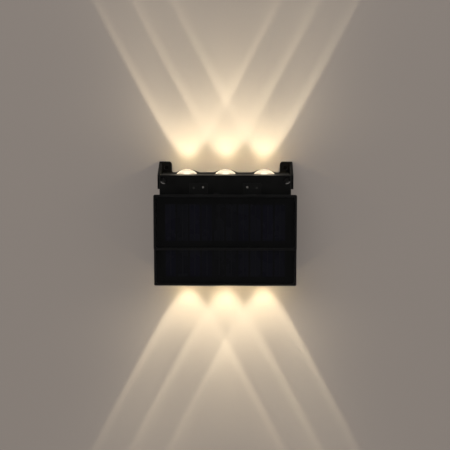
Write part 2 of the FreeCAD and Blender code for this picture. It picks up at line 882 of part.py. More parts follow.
def panel_busbars(rear, top):
    """The thin metal strip down the middle of each cell."""
    low = rear + panel_floor + laminate_thickness + cell_thickness
    cell_top = top - cell_top_margin
    first = -(cell_count - 1) / 2 * cell_pitch
    strips = []
    for index in range(cell_count):
        x = first + index * cell_pitch
        strips.append(block(x - busbar_width / 2, x + busbar_width / 2, low, low + busbar_thickness,
                            cell_top - cell_height + busbar_overrun, cell_top - busbar_overrun))
    return strips


def panel_cover(rear, top):
    """The clear sheet over the cells, a little below the bezel."""
    inset = panel_bezel + laminate_fit
    low = rear + panel_floor + laminate_thickness + cell_thickness + busbar_thickness
    return rounded_block(panel_width / 2 - inset, top - panel_height + inset, top - inset, low,
                         rear + panel_thickness - panel_bezel_rise, panel_bezel_radius - laminate_fit)


def lower_panel_tray():
    """The fixed panel's tray, with studs at its back that reach into the cover."""
    tray = panel_tray(lower_panel_rear, lower_panel_top)
    studs = [rod_out(x, z, body_depth - panel_stud_length, body_depth + panel_floor / 2, panel_stud_diameter)
             for x, z in panel_screw_places()]
    pilots = [rod_out(x, z, body_depth - panel_stud_length - overrun, body_depth + panel_floor / 2,
                      small_screw_diameter + 2 * thread_fit) for x, z in panel_screw_places()]
    lead_hole = rod_out(lower_lead_x, lower_lead_z(), body_depth - overrun,
                        body_depth + panel_floor + overrun, lead_diameter + 2 * thread_fit)
    return cut(join([tray] + studs), pilots + [lead_hole])


def lower_panel_screws():
    """The screws that hold the fixed panel, with their heads against the inside of the cover."""
    screws = []
    end = body_depth + panel_floor / 2
    for x, z in panel_screw_places():
        shank = rod_out(x, z, cover_inside, end, small_screw_diameter)
        head = rod_out(x, z, cover_inside - small_screw_head_height, cover_inside,
                       panel_stud_diameter + small_screw_head / 2)
        screws.append(join([shank, head]))
    return screws


def flap_knuckles():
    """The four knuckles on the flap's back, each with its own web."""
    half = hinge_barrel_diameter / 2
    knuckles = []
    for low, high in flap_knuckle_spans():
        barrel = rod_along(hinge_axis_depth, hinge_axis_z, low, high, hinge_barrel_diameter)
        web = block(low, high, hinge_axis_depth, flap_rear + panel_floor / 2, hinge_axis_z - half,
                    hinge_axis_z + half)
        bore = rod_along(hinge_axis_depth, hinge_axis_z, low - overrun, high + overrun,
                         hinge_pin_diameter + 2 * hinge_pin_fit)
        knuckles.append(cut(join([barrel, web]), [bore]))
    return knuckles + [mirror_side(knuckle) for knuckle in knuckles]


def flap_tray():
    """The folding panel's tray with its hinge knuckles."""
    tray = panel_tray(flap_rear, flap_top)
    lead_hole = rod_out(0, junction_top - junction_height / 2, flap_rear - overrun,
                        flap_rear + panel_floor + overrun, lead_diameter + 2 * thread_fit)
    return cut(join([tray] + flap_knuckles()), [lead_hole])


def junction_box():
    """The small potted box on the flap's back where its lead is joined."""
    box = block(-junction_width / 2, junction_width / 2, flap_rear - junction_thickness, flap_rear,
                junction_top - junction_height, junction_top)
    return box.makeFillet(junction_fillet, edges_at_depth(box, flap_rear - junction_thickness))


# Battery

def battery_cell():
    """The round cell with its raised end."""
    half = cell_length / 2
    can = rod_along(battery_depth, battery_z, -half, half, cell_diameter)
    nub = rod_along(battery_depth, battery_z, half, half + cell_nub_height, cell_nub_diameter)
    return join([can, nub])


def battery_tabs():
    """The strips welded to the cell's two ends."""
    half = cell_length / 2
    low = battery_depth - tab_height / 2
    right_face = half + cell_nub_height
    right = block(right_face, right_face + tab_thickness, low, low + tab_height,
                  battery_z - tab_width / 2, battery_z + tab_width / 2)
    left = block(-half - tab_thickness, -half, low, low + tab_height,
                 battery_z - tab_width / 2, battery_z + tab_width / 2)
    return [left, right]


def battery_clamp():
    """The strap over the cell, with a foot at each end."""
    inner = cell_diameter + 2 * cell_fit
    outer = inner + 2 * clamp_thickness
    half = clamp_width / 2
    hoop = rod_along(battery_depth, battery_z, -half, half, outer)
    front_half = block(-half, half, battery_depth, battery_depth + outer,
                       battery_z - outer, battery_z + outer)
    foot = block(-half, half, battery_depth, battery_depth + clamp_thickness, battery_z - clamp_foot_end,
                 battery_z + clamp_foot_end)
    inside = rod_along(battery_depth, battery_z, -half - overrun, half + overrun, inner)
    holes = [rod_out(x, z, battery_depth - overrun, battery_depth + clamp_thickness + overrun,
                     small_screw_diameter + 2 * thread_fit) for x, z in clamp_screw_places()]
    return cut(join([hoop.common(front_half), foot]), [inside] + holes)


def clamp_screws():
    """The two screws of the battery clamp."""
    return [small_screw(x, z, battery_depth + clamp_thickness, clamp_screw_length)
            for x, z in clamp_screw_places()]


# Control board

def control_board():
    """The board that charges the cell and drives the lights."""
    half = board_width / 2
    board = block(-half, half, board_rear, board_front, board_bottom, board_top)
    hole = small_screw_diameter + 2 * thread_fit
    holes = [rod_out(x, z, board_rear - overrun, board_front + overrun, hole)
             for x, z in board_screw_places()]
    return cut(board, holes)


def board_screws():
    """The four screws of the control board."""
    return [small_screw(x, z, board_front, small_screw_length) for x, z in board_screw_places()]


def controller_chip():
    """The chip in the middle of the board."""
    return block(-chip_width / 2, chip_width / 2, board_front, board_front + chip_thickness,
                 board_middle - chip_height / 2, board_middle + chip_height / 2)


def board_inductor():
    """The round coil case of the charger."""
    return rod_out(inductor_x, board_middle, board_front, board_front + inductor_height, inductor_diameter)


def board_capacitors():
    """The two round capacitors."""
    return [rod_out(capacitor_x + side * capacitor_pitch / 2, board_middle, board_front,
                    board_front + capacitor_height, capacitor_diameter) for side in (-1, 1)]


def battery_core_places():
    """The x of the battery's two cores, each just outside a tab."""
    outside = cell_length / 2 + tab_thickness + core_diameter / 2 + thread_fit
    return -outside, outside + cell_nub_height


def connector(x, at_top):
    """A socket on the board's top or bottom edge, with its mouth facing off the board."""
    half = connector_width / 2
    if at_top:
        low, high = board_top - connector_length, board_top
        mouth_low, mouth_high = board_top - connector_mouth_depth, board_top + overrun
    else:
        low, high = board_bottom, board_bottom + connector_length
        mouth_low, mouth_high = board_bottom - overrun, board_bottom + connector_mouth_depth
    body = block(x - half, x + half, board_front, board_front + connector_height, low, high)
    mouth = block(x - half + connector_wall, x + half - connector_wall, board_front + connector_wall,
                  board_front + connector_height - connector_wall, mouth_low, mouth_high)
    return cut(body, [mouth])


def plug(x, at_top):
    """The plug that fills a socket's mouth, where its lead ends."""
    half = connector_width / 2 - connector_wall
    low_depth = board_front + connector_wall
    high_depth = board_front + connector_height - connector_wall
    if at_top:
        return block(x - half, x + half, low_depth, high_depth, board_top - connector_mouth_depth,
                     board_top + connector_wall)
    return block(x - half, x + half, low_depth, high_depth, board_bottom - connector_wall,
                 board_bottom + connector_mouth_depth)


def connector_places():
    """Every socket on the board, as (x, whether it is on the top edge)."""
    upper = [(x, True) for x in (top_lead_x, tail_entry_x)]
    lower = [(x, False) for x in (bottom_lead_x, lower_lead_x, *battery_core_places())]
    return upper + lower


# Push button

def power_button():
    """The button's cap, with the flange that keeps it in the wall."""
    flange_low = back_wall + button_seal_thickness + button_seal_gap
    stem = rod_out(0, button_z, button_dish_depth, flange_low + button_flange_thickness, button_diameter)
    stem = stem.makeFillet(button_edge_fillet, edges_at_depth(stem, button_dish_depth))
    flange = rod_out(0, button_z, flange_low, flange_low + button_flange_thickness, button_flange_diameter)
    return join([stem, flange])


def button_seal():
    """The flat rubber ring inside the back wall that the flange closes on."""
    ring = rod_out(0, button_z, back_wall, back_wall + button_seal_thickness, button_flange_diameter)
    bore = rod_out(0, button_z, back_wall - overrun, back_wall + button_seal_thickness + overrun,
                   button_diameter + 2 * button_fit)
    return cut(ring, [bore])


def plunger_face():
    """The depth at which the plunger meets the button's flange."""
    return back_wall + button_seal_thickness + button_seal_gap + button_flange_thickness


def switch_plunger():
    """The plunger between the button and the switch, which moves with the button."""
    mouth = board_rear - switch_depth
    return rod_out(0, button_z, plunger_face(), mouth + button_travel / 2, plunger_diameter)


def switch_body():
    """The switch on the back of the control board, with the plunger's bore."""
    half = switch_size / 2
    mouth = board_rear - switch_depth
    body = block(-half, half, mouth, board_rear, button_z - half, button_z + half)
    bore = rod_out(0, button_z, mouth - overrun, mouth + button_travel * 2,
                   plunger_diameter + 2 * plunger_fit)
    return cut(body, [bore])


# Leads

def lead(points, bends, diameter):
    """A round lead along straight runs joined by arcs, and the length of its path."""
    edges = []
    start = points[0]
    for index, radius in enumerate(bends, 1):
        begin, middle, end = corner_arc(points[index - 1], points[index], points[index + 1], radius)
        if start.distanceToPoint(begin) > thread_fit:
            edges.append(Part.makeLine(start, begin))
        edges.append(Part.Arc(begin, middle, end).toShape())
        start = end
    edges.append(Part.makeLine(start, points[-1]))
    path = Part.Wire(edges)
    profile = Part.Wire([Part.makeCircle(diameter / 2, points[0], points[1] - points[0])])
    tube = path.makePipeShell([profile], True, False)
    expected = math.pi * diameter ** 2 / 4 * path.Length
    print(f"lead {path.Length:.1f} mm long, volume over section times length {tube.Volume / expected:.4f}")
    return tube


def led_lead_top():
    """The lead from the top light board down to the control board."""
    end = board_top + connector_wall
    return rod_up(top_lead_x, lead_depth, end, led_board_bottom, lead_diameter)


def led_lead_bottom():
    """The lead from the bottom light board up past the battery to the control board."""
    start = 2 * body_middle - led_board_bottom
    return rod_up(bottom_lead_x, lead_depth, start, board_bottom - connector_wall, lead_diameter)


def battery_leads():
    """The two cores that run up the cell's tabs to the control board."""
    return [rod_up(x, lead_depth, battery_z - tab_width / 2, board_bottom - connector_wall, core_diameter)
            for x in battery_core_places()]


def lower_panel_lead():
    """The fixed panel's lead, through the cover and up to the control board."""
    start = body_depth + panel_floor
    z = lower_lead_z()
    return lead([place(lower_lead_x, start, z), place(lower_lead_x, lead_depth, z),
                 place(lower_lead_x, lead_depth, board_bottom - connector_wall)], [lead_bend], lead_diameter)


def upper_panel_lead():
    """The flap's lead, from its junction box up to the hinge axis, where it meets the tail."""
    return lead([place(flap_lead_x, hinge_axis_depth, junction_top),
                 place(flap_lead_x, hinge_axis_depth, hinge_axis_z),
                 place(lead_meeting_x, hinge_axis_depth, hinge_axis_z)], [flap_lead_bend], lead_diameter)


def panel_lead_tail():
    """The rest of that lead, along the hinge axis, through the cover and down to the control board."""
    return lead([place(lead_meeting_x, hinge_axis_depth, hinge_axis_z),
                 place(tail_entry_x, hinge_axis_depth, hinge_axis_z),
                 place(tail_entry_x, lead_depth, hinge_axis_z),
                 place(tail_entry_x, lead_depth, board_top + connector_wall)],
                [flap_lead_bend, lead_bend], lead_diameter)


def lead_seal(x, z, lead_tube):
    """The plug of sealant round a lead in the cover."""
    filling = rod_out(x, z, cover_inside, body_depth, lead_seal_diameter)
    return cut(filling, [lead_tube])


# Every node, with its solid or its group of solids

def nodes():
    """All the pieces of the light, by node name."""
    lower_lead = lower_panel_lead()
    tail_lead = panel_lead_tail()
    top_chips = led_chips()
    top_screws = both_sides(led_board_screw())
    brackets = both_sides(hinge_bracket())
    pins = both_sides(hinge_pin())
    return {
        "rear_shell": [rear_shell()],
        "front_cover": [front_cover()],
        "housing_gasket": [housing_gasket()],
        "case_screws": case_screws(),
        "lens_plate_top": [lens_plate()],
        "lens_plate_bottom": [mirror_end(lens_plate())],
        "lens_seal_top": [lens_seal()],
        "lens_seal_bottom": [mirror_end(lens_seal())],
        "led_board_top": [led_board()],
        "led_board_bottom": [mirror_end(led_board())],
        "led_chips_top": top_chips,
        "led_chips_bottom": [mirror_end(chip) for chip in top_chips],
        "led_board_screws": both_ends(top_screws),
        "battery_cell": [battery_cell()],
        "battery_tabs": battery_tabs(),
        "battery_clamp": [battery_clamp()],
        "battery_clamp_screws": clamp_screws(),
        "battery_leads": battery_leads(),
        "control_board": [control_board()],
        "board_screws": board_screws(),
        "controller_chip": [controller_chip()],
        "board_inductor": [board_inductor()],
        "board_capacitors": board_capacitors(),
        "board_sockets": [connector(x, at_top) for x, at_top in connector_places()],
        "lead_plugs": [plug(x, at_top) for x, at_top in connector_places()],
        "switch_body": [switch_body()],
        "switch_plunger": [switch_plunger()],
        "power_button": [power_button()],
        "button_seal": [button_seal()],
        "led_lead_top": [led_lead_top()],
        "led_lead_bottom": [led_lead_bottom()],
        "hinge_bracket_left": [brackets[1]],
        "hinge_bracket_right": [brackets[0]],
        "hinge_pin_left": [pins[1]],
        "hinge_pin_right": [pins[0]],
        "hinge_screws": both_sides(hinge_screw()),
        "hinge_locating_pins": both_sides(locating_pin()),
        "lower_panel_tray": [lower_panel_tray()],
        "lower_panel_laminate": [panel_laminate(lower_panel_rear, lower_panel_top)],
        "lower_panel_cells": panel_cells(lower_panel_rear, lower_panel_top),
        "lower_panel_busbars": panel_busbars(lower_panel_rear, lower_panel_top),
        "lower_panel_cover": [panel_cover(lower_panel_rear, lower_panel_top)],
        "lower_panel_screws": lower_panel_screws(),
        "lower_panel_lead": [lower_lead],
        "lower_lead_seal": [lead_seal(lower_lead_x, lower_lead_z(), lower_lead)],
        "upper_panel_tray": [flap_tray()],
        "upper_panel_laminate": [panel_laminate(flap_rear, flap_top)],
        "upper_panel_cells": panel_cells(flap_rear, flap_top),
        "upper_panel_busbars": panel_busbars(flap_rear, flap_top),
        "upper_panel_cover": [panel_cover(flap_rear, flap_top)],
        "upper_panel_junction": [junction_box()],
        "upper_panel_lead": [upper_panel_lead()],
        "panel_lead_tail": [tail_lead],
        "panel_lead_seal": [lead_seal(tail_entry_x, hinge_axis_z, tail_lead)],
    }


def write_parts():
    """Writes each node to its own file."""
    os.makedirs("parts", exist_ok=True)
    for name, solids in nodes().items():
        shape = solids[0] if len(solids) == 1 else Part.makeCompound(solids)
        shape.exportStep(f"parts/{name}.step")
        print(f"{name}: {len(shape.Solids)} solids, {shape.Volume:.0f} cubic mm, valid {shape.isValid()}")


write_parts()
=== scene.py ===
# %% [markdown]
# # A solar wall light that shines up and down
# The light is a flat black box that hangs on a wall. It shines through three domed lenses at its
# top and three at its bottom, and two thin solar panels lie in front of it. Its solid pieces come
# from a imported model, at their real size and place, so nothing here is moved or fitted by eye.
# This lesson gives every piece its finish, builds the few pieces whose surfaces need to be finer
# than the solids are, and then sets the stage.

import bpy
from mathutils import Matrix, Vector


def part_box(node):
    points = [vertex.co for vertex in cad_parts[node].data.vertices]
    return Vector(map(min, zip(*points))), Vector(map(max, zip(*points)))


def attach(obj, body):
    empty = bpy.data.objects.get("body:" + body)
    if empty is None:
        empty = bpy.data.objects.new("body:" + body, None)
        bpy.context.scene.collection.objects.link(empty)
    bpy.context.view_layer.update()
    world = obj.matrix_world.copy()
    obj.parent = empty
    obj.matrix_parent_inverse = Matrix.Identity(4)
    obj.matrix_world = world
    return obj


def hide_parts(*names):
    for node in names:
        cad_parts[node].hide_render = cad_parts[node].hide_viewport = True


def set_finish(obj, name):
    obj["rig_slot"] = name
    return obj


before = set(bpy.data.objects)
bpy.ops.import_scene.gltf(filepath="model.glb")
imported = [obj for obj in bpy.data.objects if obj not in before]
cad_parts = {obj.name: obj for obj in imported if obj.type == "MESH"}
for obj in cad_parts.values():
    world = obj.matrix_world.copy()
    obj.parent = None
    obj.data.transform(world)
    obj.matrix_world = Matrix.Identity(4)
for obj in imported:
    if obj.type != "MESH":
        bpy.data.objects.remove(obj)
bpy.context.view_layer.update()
print("nodes in the packed light:", len(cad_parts))

# %% [markdown]
# Everything is in metres. Small parts read better in millimetres, so one value turns them into
# metres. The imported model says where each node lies. A depth is a distance from the wall, as on
# the real parts.

# %% Units and places
import math

import bmesh
import bpy
import numpy as np
from mathutils import Vector

MM = 0.001
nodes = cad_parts
body_low, body_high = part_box("front_cover")
body_middle = (body_low.z + body_high.z) / 2
body_top = body_high.z
print("the body's middle is", round(body_middle / MM, 2), "mm from the ear holes")

# %% [markdown]
# ## Building with whole arrays
# A new piece is a set of surfaces. Each one is a grid of points, worked out in one go from a
# formula in two parameters, and its faces join neighbours in the grid. Pieces could also be made
# by hand in the viewport or with boolean cuts, but a formula keeps the surface even, and it can
# be changed in one place. Points that meet are merged, so poles and seams close, and then all the
# faces are turned outwards.

# %% Grids of points become meshes
SMOOTH_UP_TO = math.radians(34)
MERGE_WITHIN = 0.002 * MM


def grid_faces(rows, columns, first, wrap):
    """Four-sided faces between neighbours in a grid. With wrap, the last column meets the first one."""
    number = first + np.arange(rows * columns).reshape(rows, columns)
    if wrap:
        number = np.concatenate([number, number[:, :1]], axis=1)
    corners = [number[:-1, :-1], number[:-1, 1:], number[1:, 1:], number[1:, :-1]]
    return np.stack([corner.ravel() for corner in corners], axis=1)


def put(name, data, place=(0.0, 0.0, 0.0)):
    """A new object with this data, at its place in the scene."""
    made = bpy.data.objects.new(name, data)
    made.location = place
    bpy.context.scene.collection.objects.link(made)
    return made


def piece_from(name, surfaces):
    """One closed mesh object made of (grid of points, wraps round) surfaces that meet at their edges."""
    points, faces, first = [], [], 0
    for grid, wrap in surfaces:
        rows, columns = grid.shape[:2]
        points.append(grid.reshape(-1, 3))
        faces.append(grid_faces(rows, columns, first, wrap))
        first += rows * columns
    mesh = bpy.data.meshes.new(name)
    mesh.from_pydata(np.concatenate(points).tolist(), [], np.concatenate(faces).tolist())
    work = bmesh.new()
    work.from_mesh(mesh)
    bmesh.ops.remove_doubles(work, verts=work.verts, dist=MERGE_WITHIN)
    bmesh.ops.recalc_face_normals(work, faces=work.faces)
    work.to_mesh(mesh)
    work.free()
    mesh.shade_smooth()
    mesh.set_sharp_from_angle(angle=SMOOTH_UP_TO)
    print(name, "has", len(mesh.polygons), "faces")
    return put(name, mesh)


made_pieces = []


def fit(piece, body, slot, stands_for):
    """Makes a new piece ride on its body, take its finish's slot and stand for the node it replaces."""
    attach(piece, body)
    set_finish(piece, slot)
    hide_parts(stands_for)
    made_pieces.append(piece)


# %% [markdown]
# ## The lens plates
# On the real light each lens plate is one clear moulding: a flat plate that is bonded under the
# housing's wall, and three round steps with domes on them that stand out of round holes. A low
# hollow in the underside lets each light chip shine into its dome. A ball cut off by a boolean
# would give the dome, but its rings would not line up with the plate. Here each lens is a fan of
# rings instead: they follow the dome's outline, run down the step and then spread into the
# rectangle of plate round it, so one mesh carries all three without a cut.

# %% Sizes of a lens plate
LENSES = (-1, 0, 1)
lens_low, lens_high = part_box("lens_plate_top")
chip_low, chip_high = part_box("led_chips_top")
chip_half = (chip_high.y - chip_low.y) / 2
lens_pitch = chip_high.x - chip_half
lens_depth = -(chip_high.y + chip_low.y) / 2
dome_radius = 10.4 * MM
dome_height = lens_high.z - body_top
dome_edge = 0.35 * MM
hollow_radius = 5.5 * MM
hollow_rise = 1.4 * MM
plate_thickness = 1.4 * MM
points_per_side = 24
dome_steps, edge_steps, hollow_steps = 36, 7, 14
print("lens pitch", round(lens_pitch / MM, 2), "mm, dome height", round(dome_height / MM, 2), "mm")


# %% The outline of a dome
def ball_radius(radius, height):
    """The radius of the ball whose slice has this radius and height: half of their squares' sum over
    the height."""
    return (radius ** 2 + height ** 2) / (2 * height)


def dome_profile():
    """Radius and height along the dome: sine and cosine of the ball's angle, then of a small ball
    rolled inside it, which turns the foot until it runs straight down the step."""
    ball = ball_radius(dome_radius, dome_height)
    meet = math.asin((dome_radius - dome_edge) / (ball - dome_edge))
    over, turn = np.linspace(0, meet, dome_steps), np.linspace(meet, np.pi / 2, edge_steps)[1:]
    inner = ball - dome_edge
    radius = [ball * np.sin(over), inner * math.sin(meet) + dome_edge * np.sin(turn), [dome_radius]]
    height = [ball * np.cos(over), inner * math.cos(meet) + dome_edge * np.cos(turn)]
    height = [part + lens_high.z - ball for part in height] + [[lens_low.z + plate_thickness]]
    return np.concatenate(radius), np.concatenate(height)


def hollow_profile():
    """Radius and height along the hollow below a dome, a flatter slice of a ball."""
    ball = ball_radius(hollow_radius, hollow_rise)
    over = np.linspace(0, math.asin(hollow_radius / ball), hollow_steps)
    return ball * np.sin(over), lens_low.z + hollow_rise - ball + ball * np.cos(over)


# %% Rings that spread into the plate
def cell_sides(index):
    """The four sides of the plate's share round one lens, as rows of points in order round it."""
    left = max(-lens_high.x, (index - 0.5) * lens_pitch)
    right = min(lens_high.x, (index + 0.5) * lens_pitch)
    corners = np.array([[left, lens_low.y], [right, lens_low.y], [right, lens_high.y], [left, lens_high.y]])
    share = np.linspace(0, 1, points_per_side + 1)[:, None]
    return [start + (end - start) * share for start, end in zip(corners, np.roll(corners, -1, axis=0))]


def at_height(loop, z):
    """The same points in plan, at one height."""
    return np.concatenate([loop[..., :2], np.full((*loop.shape[:-1], 1), z)], axis=-1)


def fan(index, radius, height):
    """Rings round one lens: centre plus radius times the way to each point of the outline, at the
    profile's heights, and then three more rings that move on to the outline itself."""
    outline = np.concatenate([side[:-1] for side in cell_sides(index)])
    centre = np.array([index * lens_pitch, -lens_depth])
    away = outline - centre
    away /= np.linalg.norm(away, axis=1, keepdims=True)
    flat = centre + radius[:, None, None] * away
    rings = np.concatenate([flat, np.broadcast_to(height[:, None, None], (*flat.shape[:2], 1))], axis=-1)
    share = np.array([1, 2, 3])[:, None, None] / 3
    return np.concatenate([rings, at_height(flat[-1] + (outline - flat[-1]) * share, height[-1])])


def lens_plate_surfaces():
    """Three fans above, three below, and the straight outer sides between them."""
    surfaces = []
    top, foot = lens_low.z + plate_thickness, lens_low.z
    for index in LENSES:
        surfaces += [(fan(index, *dome_profile()), True), (fan(index, *hollow_profile()), True)]
        front, right, rear, left = cell_sides(index)
        outer = [front, rear] + {-1: [left], 0: [], 1: [right]}[index]
        surfaces += [(np.stack([at_height(side, top), at_height(side, foot)]), False) for side in outer]
    return surfaces


def turned_over(surfaces):
    """The same surfaces mirrored about the level through the body's middle, for the bottom wall."""
    flip = np.array([1, 1, -1])
    lift = np.array([0, 0, 2 * body_middle])
    return [(grid * flip + lift, wrap) for grid, wrap in surfaces]


def fit_pair(name, surfaces, slot, node):
    """A piece in the top wall and its mirror image in the bottom one, for the nodes of that name."""
    for end, grids in (("top", surfaces), ("bottom", turned_over(surfaces))):
        fit(piece_from(f"{name}_{end}", grids), "housing", slot, f"{node}_{end}")


fit_pair("clear_lens", lens_plate_surfaces(), "lens_clear", "lens_plate")

# %% [markdown]
# ## The light chips
# Each light chip is a square white cup with a round well of yellow phosphor that swells a little.
# It could be a cube with a disc on it. Here it is one loft of rings instead, and each ring is a
# superellipse: a high power makes it nearly square, a power of two makes it round, so the square
# package turns into the round well by itself.

# %% Lofted light chips
ring_points = 40


def superellipse(half, power):
    """Points round a shape where |x| to the power plus |y| to the power stays the same, for a half width."""
    angle = np.arange(ring_points) * 2 * np.pi / ring_points
    reach = (np.abs(np.cos(angle)) ** power + np.abs(np.sin(angle)) ** power) ** (-1 / power)
    return np.stack([np.cos(angle), np.sin(angle)], axis=1) * half * reach[:, None]


def chip_rings(centre_x):
    """One chip's rings, as shares of its half width and height, from its foot to the middle of its top."""
    shares = [(0.0, 9, 0.0), (0.98, 9, 0.0), (1.0, 9, 0.06), (1.0, 9, 0.66), (0.97, 8, 0.72), (0.80, 2, 0.74),
              (0.77, 2, 0.72), (0.74, 2, 0.60), (0.70, 2, 0.62), (0.50, 2, 0.78), (0.28, 2, 0.92),
              (0.12, 2, 0.99), (0.0, 2, 1.0)]
    rings = []
    for half_share, power, height_share in shares:
        flat = superellipse(chip_half * half_share, power) + [centre_x, -lens_depth]
        rings.append(at_height(flat, chip_low.z + (chip_high.z - chip_low.z) * height_share))
    return np.stack(rings)


fit_pair("light_chips", [(chip_rings(index * lens_pitch), True) for index in LENSES],
         "led_phosphor", "led_chips")

# %% [markdown]
# ## The push button
# The button sits in a finger dish in the back. Its cap is turned: the face is dished for a
# fingertip and has three fine ridges, its edge is rounded, and a flange inside keeps it in the
# wall. A turned piece needs only its profile, carried once round the axis.

# %% A turned profile
button_low, button_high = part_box("power_button")
button_height = (button_low.z + button_high.z) / 2
button_front = -button_high.y
button_back = -button_low.y
cap_radius = 6.0 * MM
cap_edge = 0.4 * MM
cap_dish = 0.32 * MM
ridge_height = 0.07 * MM
ridge_count, ridge_power = 3, 8
ridges_from, ridges_to = 0.2, 0.95
cap_flange_radius = button_high.x
cap_flange_thickness = 0.9 * MM
turn_points = 96
face_steps, turn_steps = 60, 9


def button_face(radius):
    """The depth of the face: a parabola for the dish, less a high power of a cosine for the ridges."""
    share = radius / (cap_radius - cap_edge)
    dish = cap_dish * (1 - share ** 2)
    wave = np.cos(np.pi * ridge_count * share) ** ridge_power
    ridges = ridge_height * wave * (share > ridges_from) * (share < ridges_to)
    return button_front + np.clip(dish - ridges, 0, None)


def button_profile():
    """Radius and depth along the cap's outline, from the middle of its face to the middle of its back."""
    across = np.linspace(0, cap_radius - cap_edge, face_steps)
    turn = np.linspace(0, np.pi / 2, turn_steps)
    flange_front = button_back - cap_flange_thickness
    radius = [across, cap_radius - cap_edge + cap_edge * np.sin(turn),
              [cap_radius, cap_flange_radius, cap_flange_radius, 0]]
    depth = [button_face(across), button_front + cap_edge - cap_edge * np.cos(turn),
             [flange_front, flange_front, button_back, button_back]]
    return np.concatenate(radius), np.concatenate(depth)


def turned(radius, depth, centre_z):
    """A profile carried round an axis out of the wall: x and z go round a circle of that radius."""
    angle = np.arange(turn_points) * 2 * np.pi / turn_points
    x = radius[:, None] * np.cos(angle)
    z = centre_z + radius[:, None] * np.sin(angle)
    return np.stack([x, np.broadcast_to(-depth[:, None], x.shape), z], axis=-1)


fit(piece_from("push_button", [(turned(*button_profile(), button_height), True)]), "button",
    "button_plastic", "power_button")

# %% [markdown]
# ## Writing finishes
# A finish is a network of shader nodes. Small helpers keep the networks short: each adds a node,
# fills its inputs and finds the network by the sockets that it is given. Colours are given as they
# look on a screen, from 0 to 255, and turned into the linear values that light works in.

# %% Helpers for node networks
SCREEN_LIMIT, SCREEN_SLOPE, SCREEN_LIFT, SCREEN_POWER = 0.04045, 12.92, 0.055, 2.4
MIX_SHARE, MIX_FIRST, MIX_SECOND, MIX_RESULT = 0, 6, 7, 2


def seen(red, green, blue):
    """The linear colour of a surface that a screen shows at these levels."""
    share = np.array([red, green, blue]) / 255
    curve = ((share + SCREEN_LIFT) / (1 + SCREEN_LIFT)) ** SCREEN_POWER
    return (*np.where(share <= SCREEN_LIMIT, share / SCREEN_SLOPE, curve).tolist(), 1.0)


def scaled(colour, share):
    """The same colour at a share of its brightness."""
    return tuple(share * part for part in colour[:3]) + (1.0,)


def plug_in(socket, value):
    """Links the socket to another one, or gives it a plain value."""
    if isinstance(value, bpy.types.NodeSocket):
        socket.id_data.links.new(value, socket)
    else:
        socket.default_value = value


def fill(node, inputs):
    """Links or sets some of a node's inputs."""
    for name, value in inputs.items():
        plug_in(node.inputs[name], value)


def add(tree, kind, inputs=None, **options):
    """Adds a shader node of that kind, sets its options and fills its inputs."""
    made = tree.nodes.new("ShaderNode" + kind)
    for option, value in options.items():
        setattr(made, option, value)
    fill(made, inputs or {})
    return made


def tree_of(*values):
    """The network that the first socket among these values lies in."""
    return next(value.id_data for value in values if isinstance(value, bpy.types.NodeSocket))


def calc(operation, *values, clamp=False):
    """One step of arithmetic on sockets and numbers."""
    inputs = dict(enumerate(values))
    return add(tree_of(*values), "Math", inputs, operation=operation, use_clamp=clamp).outputs[0]


def times(first, *others):
    """The product of the values."""
    for other in others:
        first = calc("MULTIPLY", first, other)
    return first


def gap(first, second):
    """How far apart two values are."""
    return calc("ABSOLUTE", calc("SUBTRACT", first, second))


def reach_of(first, second):
    """The length of a way with these two parts: the root of the sum of their squares."""
    return calc("SQRT", calc("MULTIPLY_ADD", first, first, times(second, second)))


def ramp(value, start, end, low=0.0, high=1.0):
    """A smooth step of the value, from low at start to high at end."""
    inputs = {"Value": value, "From Min": start, "From Max": end, "To Min": low, "To Max": high}
    return add(tree_of(value), "MapRange", inputs, interpolation_type="SMOOTHSTEP").outputs[0]


def mix(share, first, second):
    """The first colour where the share is 0 and the second where it is 1."""
    inputs = {MIX_SHARE: share, MIX_FIRST: first, MIX_SECOND: second}
    return add(tree_of(share), "Mix", inputs, data_type="RGBA").outputs[MIX_RESULT]


def noise(place, scale, detail=2.0, roughness=0.5):
    """Soft noise from 0 to 1 at a scale in features per metre."""
    inputs = {"Vector": place, "Scale": scale, "Detail": detail, "Roughness": roughness}
    return add(tree_of(place), "TexNoise", inputs).outputs["Fac"]


def spots(place, scale, randomness=1.0):
    """The distance to the nearest of the points that are strewn at this scale."""
    inputs = {"Vector": place, "Scale": scale, "Randomness": randomness}
    return add(tree_of(place), "TexVoronoi", inputs, feature="F1").outputs["Distance"]


def mapped(place, scale, rotation=(0.0, 0.0, 0.0)):
    """The place, turned and then stretched along each axis."""
    inputs = {"Vector": place, "Scale": scale, "Rotation": rotation}
    return add(tree_of(place), "Mapping", inputs).outputs[0]


def coordinates(tree, kind="Object"):
    """The place on the piece in metres, in its own coordinates, or another kind such as its normal."""
    return add(tree, "TexCoord").outputs[kind]


def parts_of(vector):
    """The x, y and z of a vector."""
    return add(tree_of(vector), "SeparateXYZ", {"Vector": vector}).outputs


# %% [markdown]
# ## Effects that many finishes share
# Moulded plastic, rubber and paint have things in common: the fine sparked grain of the mould,
# edges that hands have polished, dust that settles on top, and faint marks from handling. Each is
# a node group that is built once. A group hands out only masks, heights and normals, and each
# finish decides what to do with them.

# %% A helper for node groups
NUMBER, ARROW = "NodeSocketFloat", "NodeSocketVector"


def effect(name, inputs, outputs):
    """An empty effect with its named sockets. Returns its tree, its inputs and its output node."""
    tree = bpy.data.node_groups.new(name, "ShaderNodeTree")
    for socket, value in inputs.items():
        made = tree.interface.new_socket(name=socket, in_out="INPUT", socket_type=NUMBER)
        made.default_value = value
    for socket, kind in outputs.items():
        tree.interface.new_socket(name=socket, in_out="OUTPUT", socket_type=kind)
    return tree, tree.nodes.new("NodeGroupInput").outputs, tree.nodes.new("NodeGroupOutput")


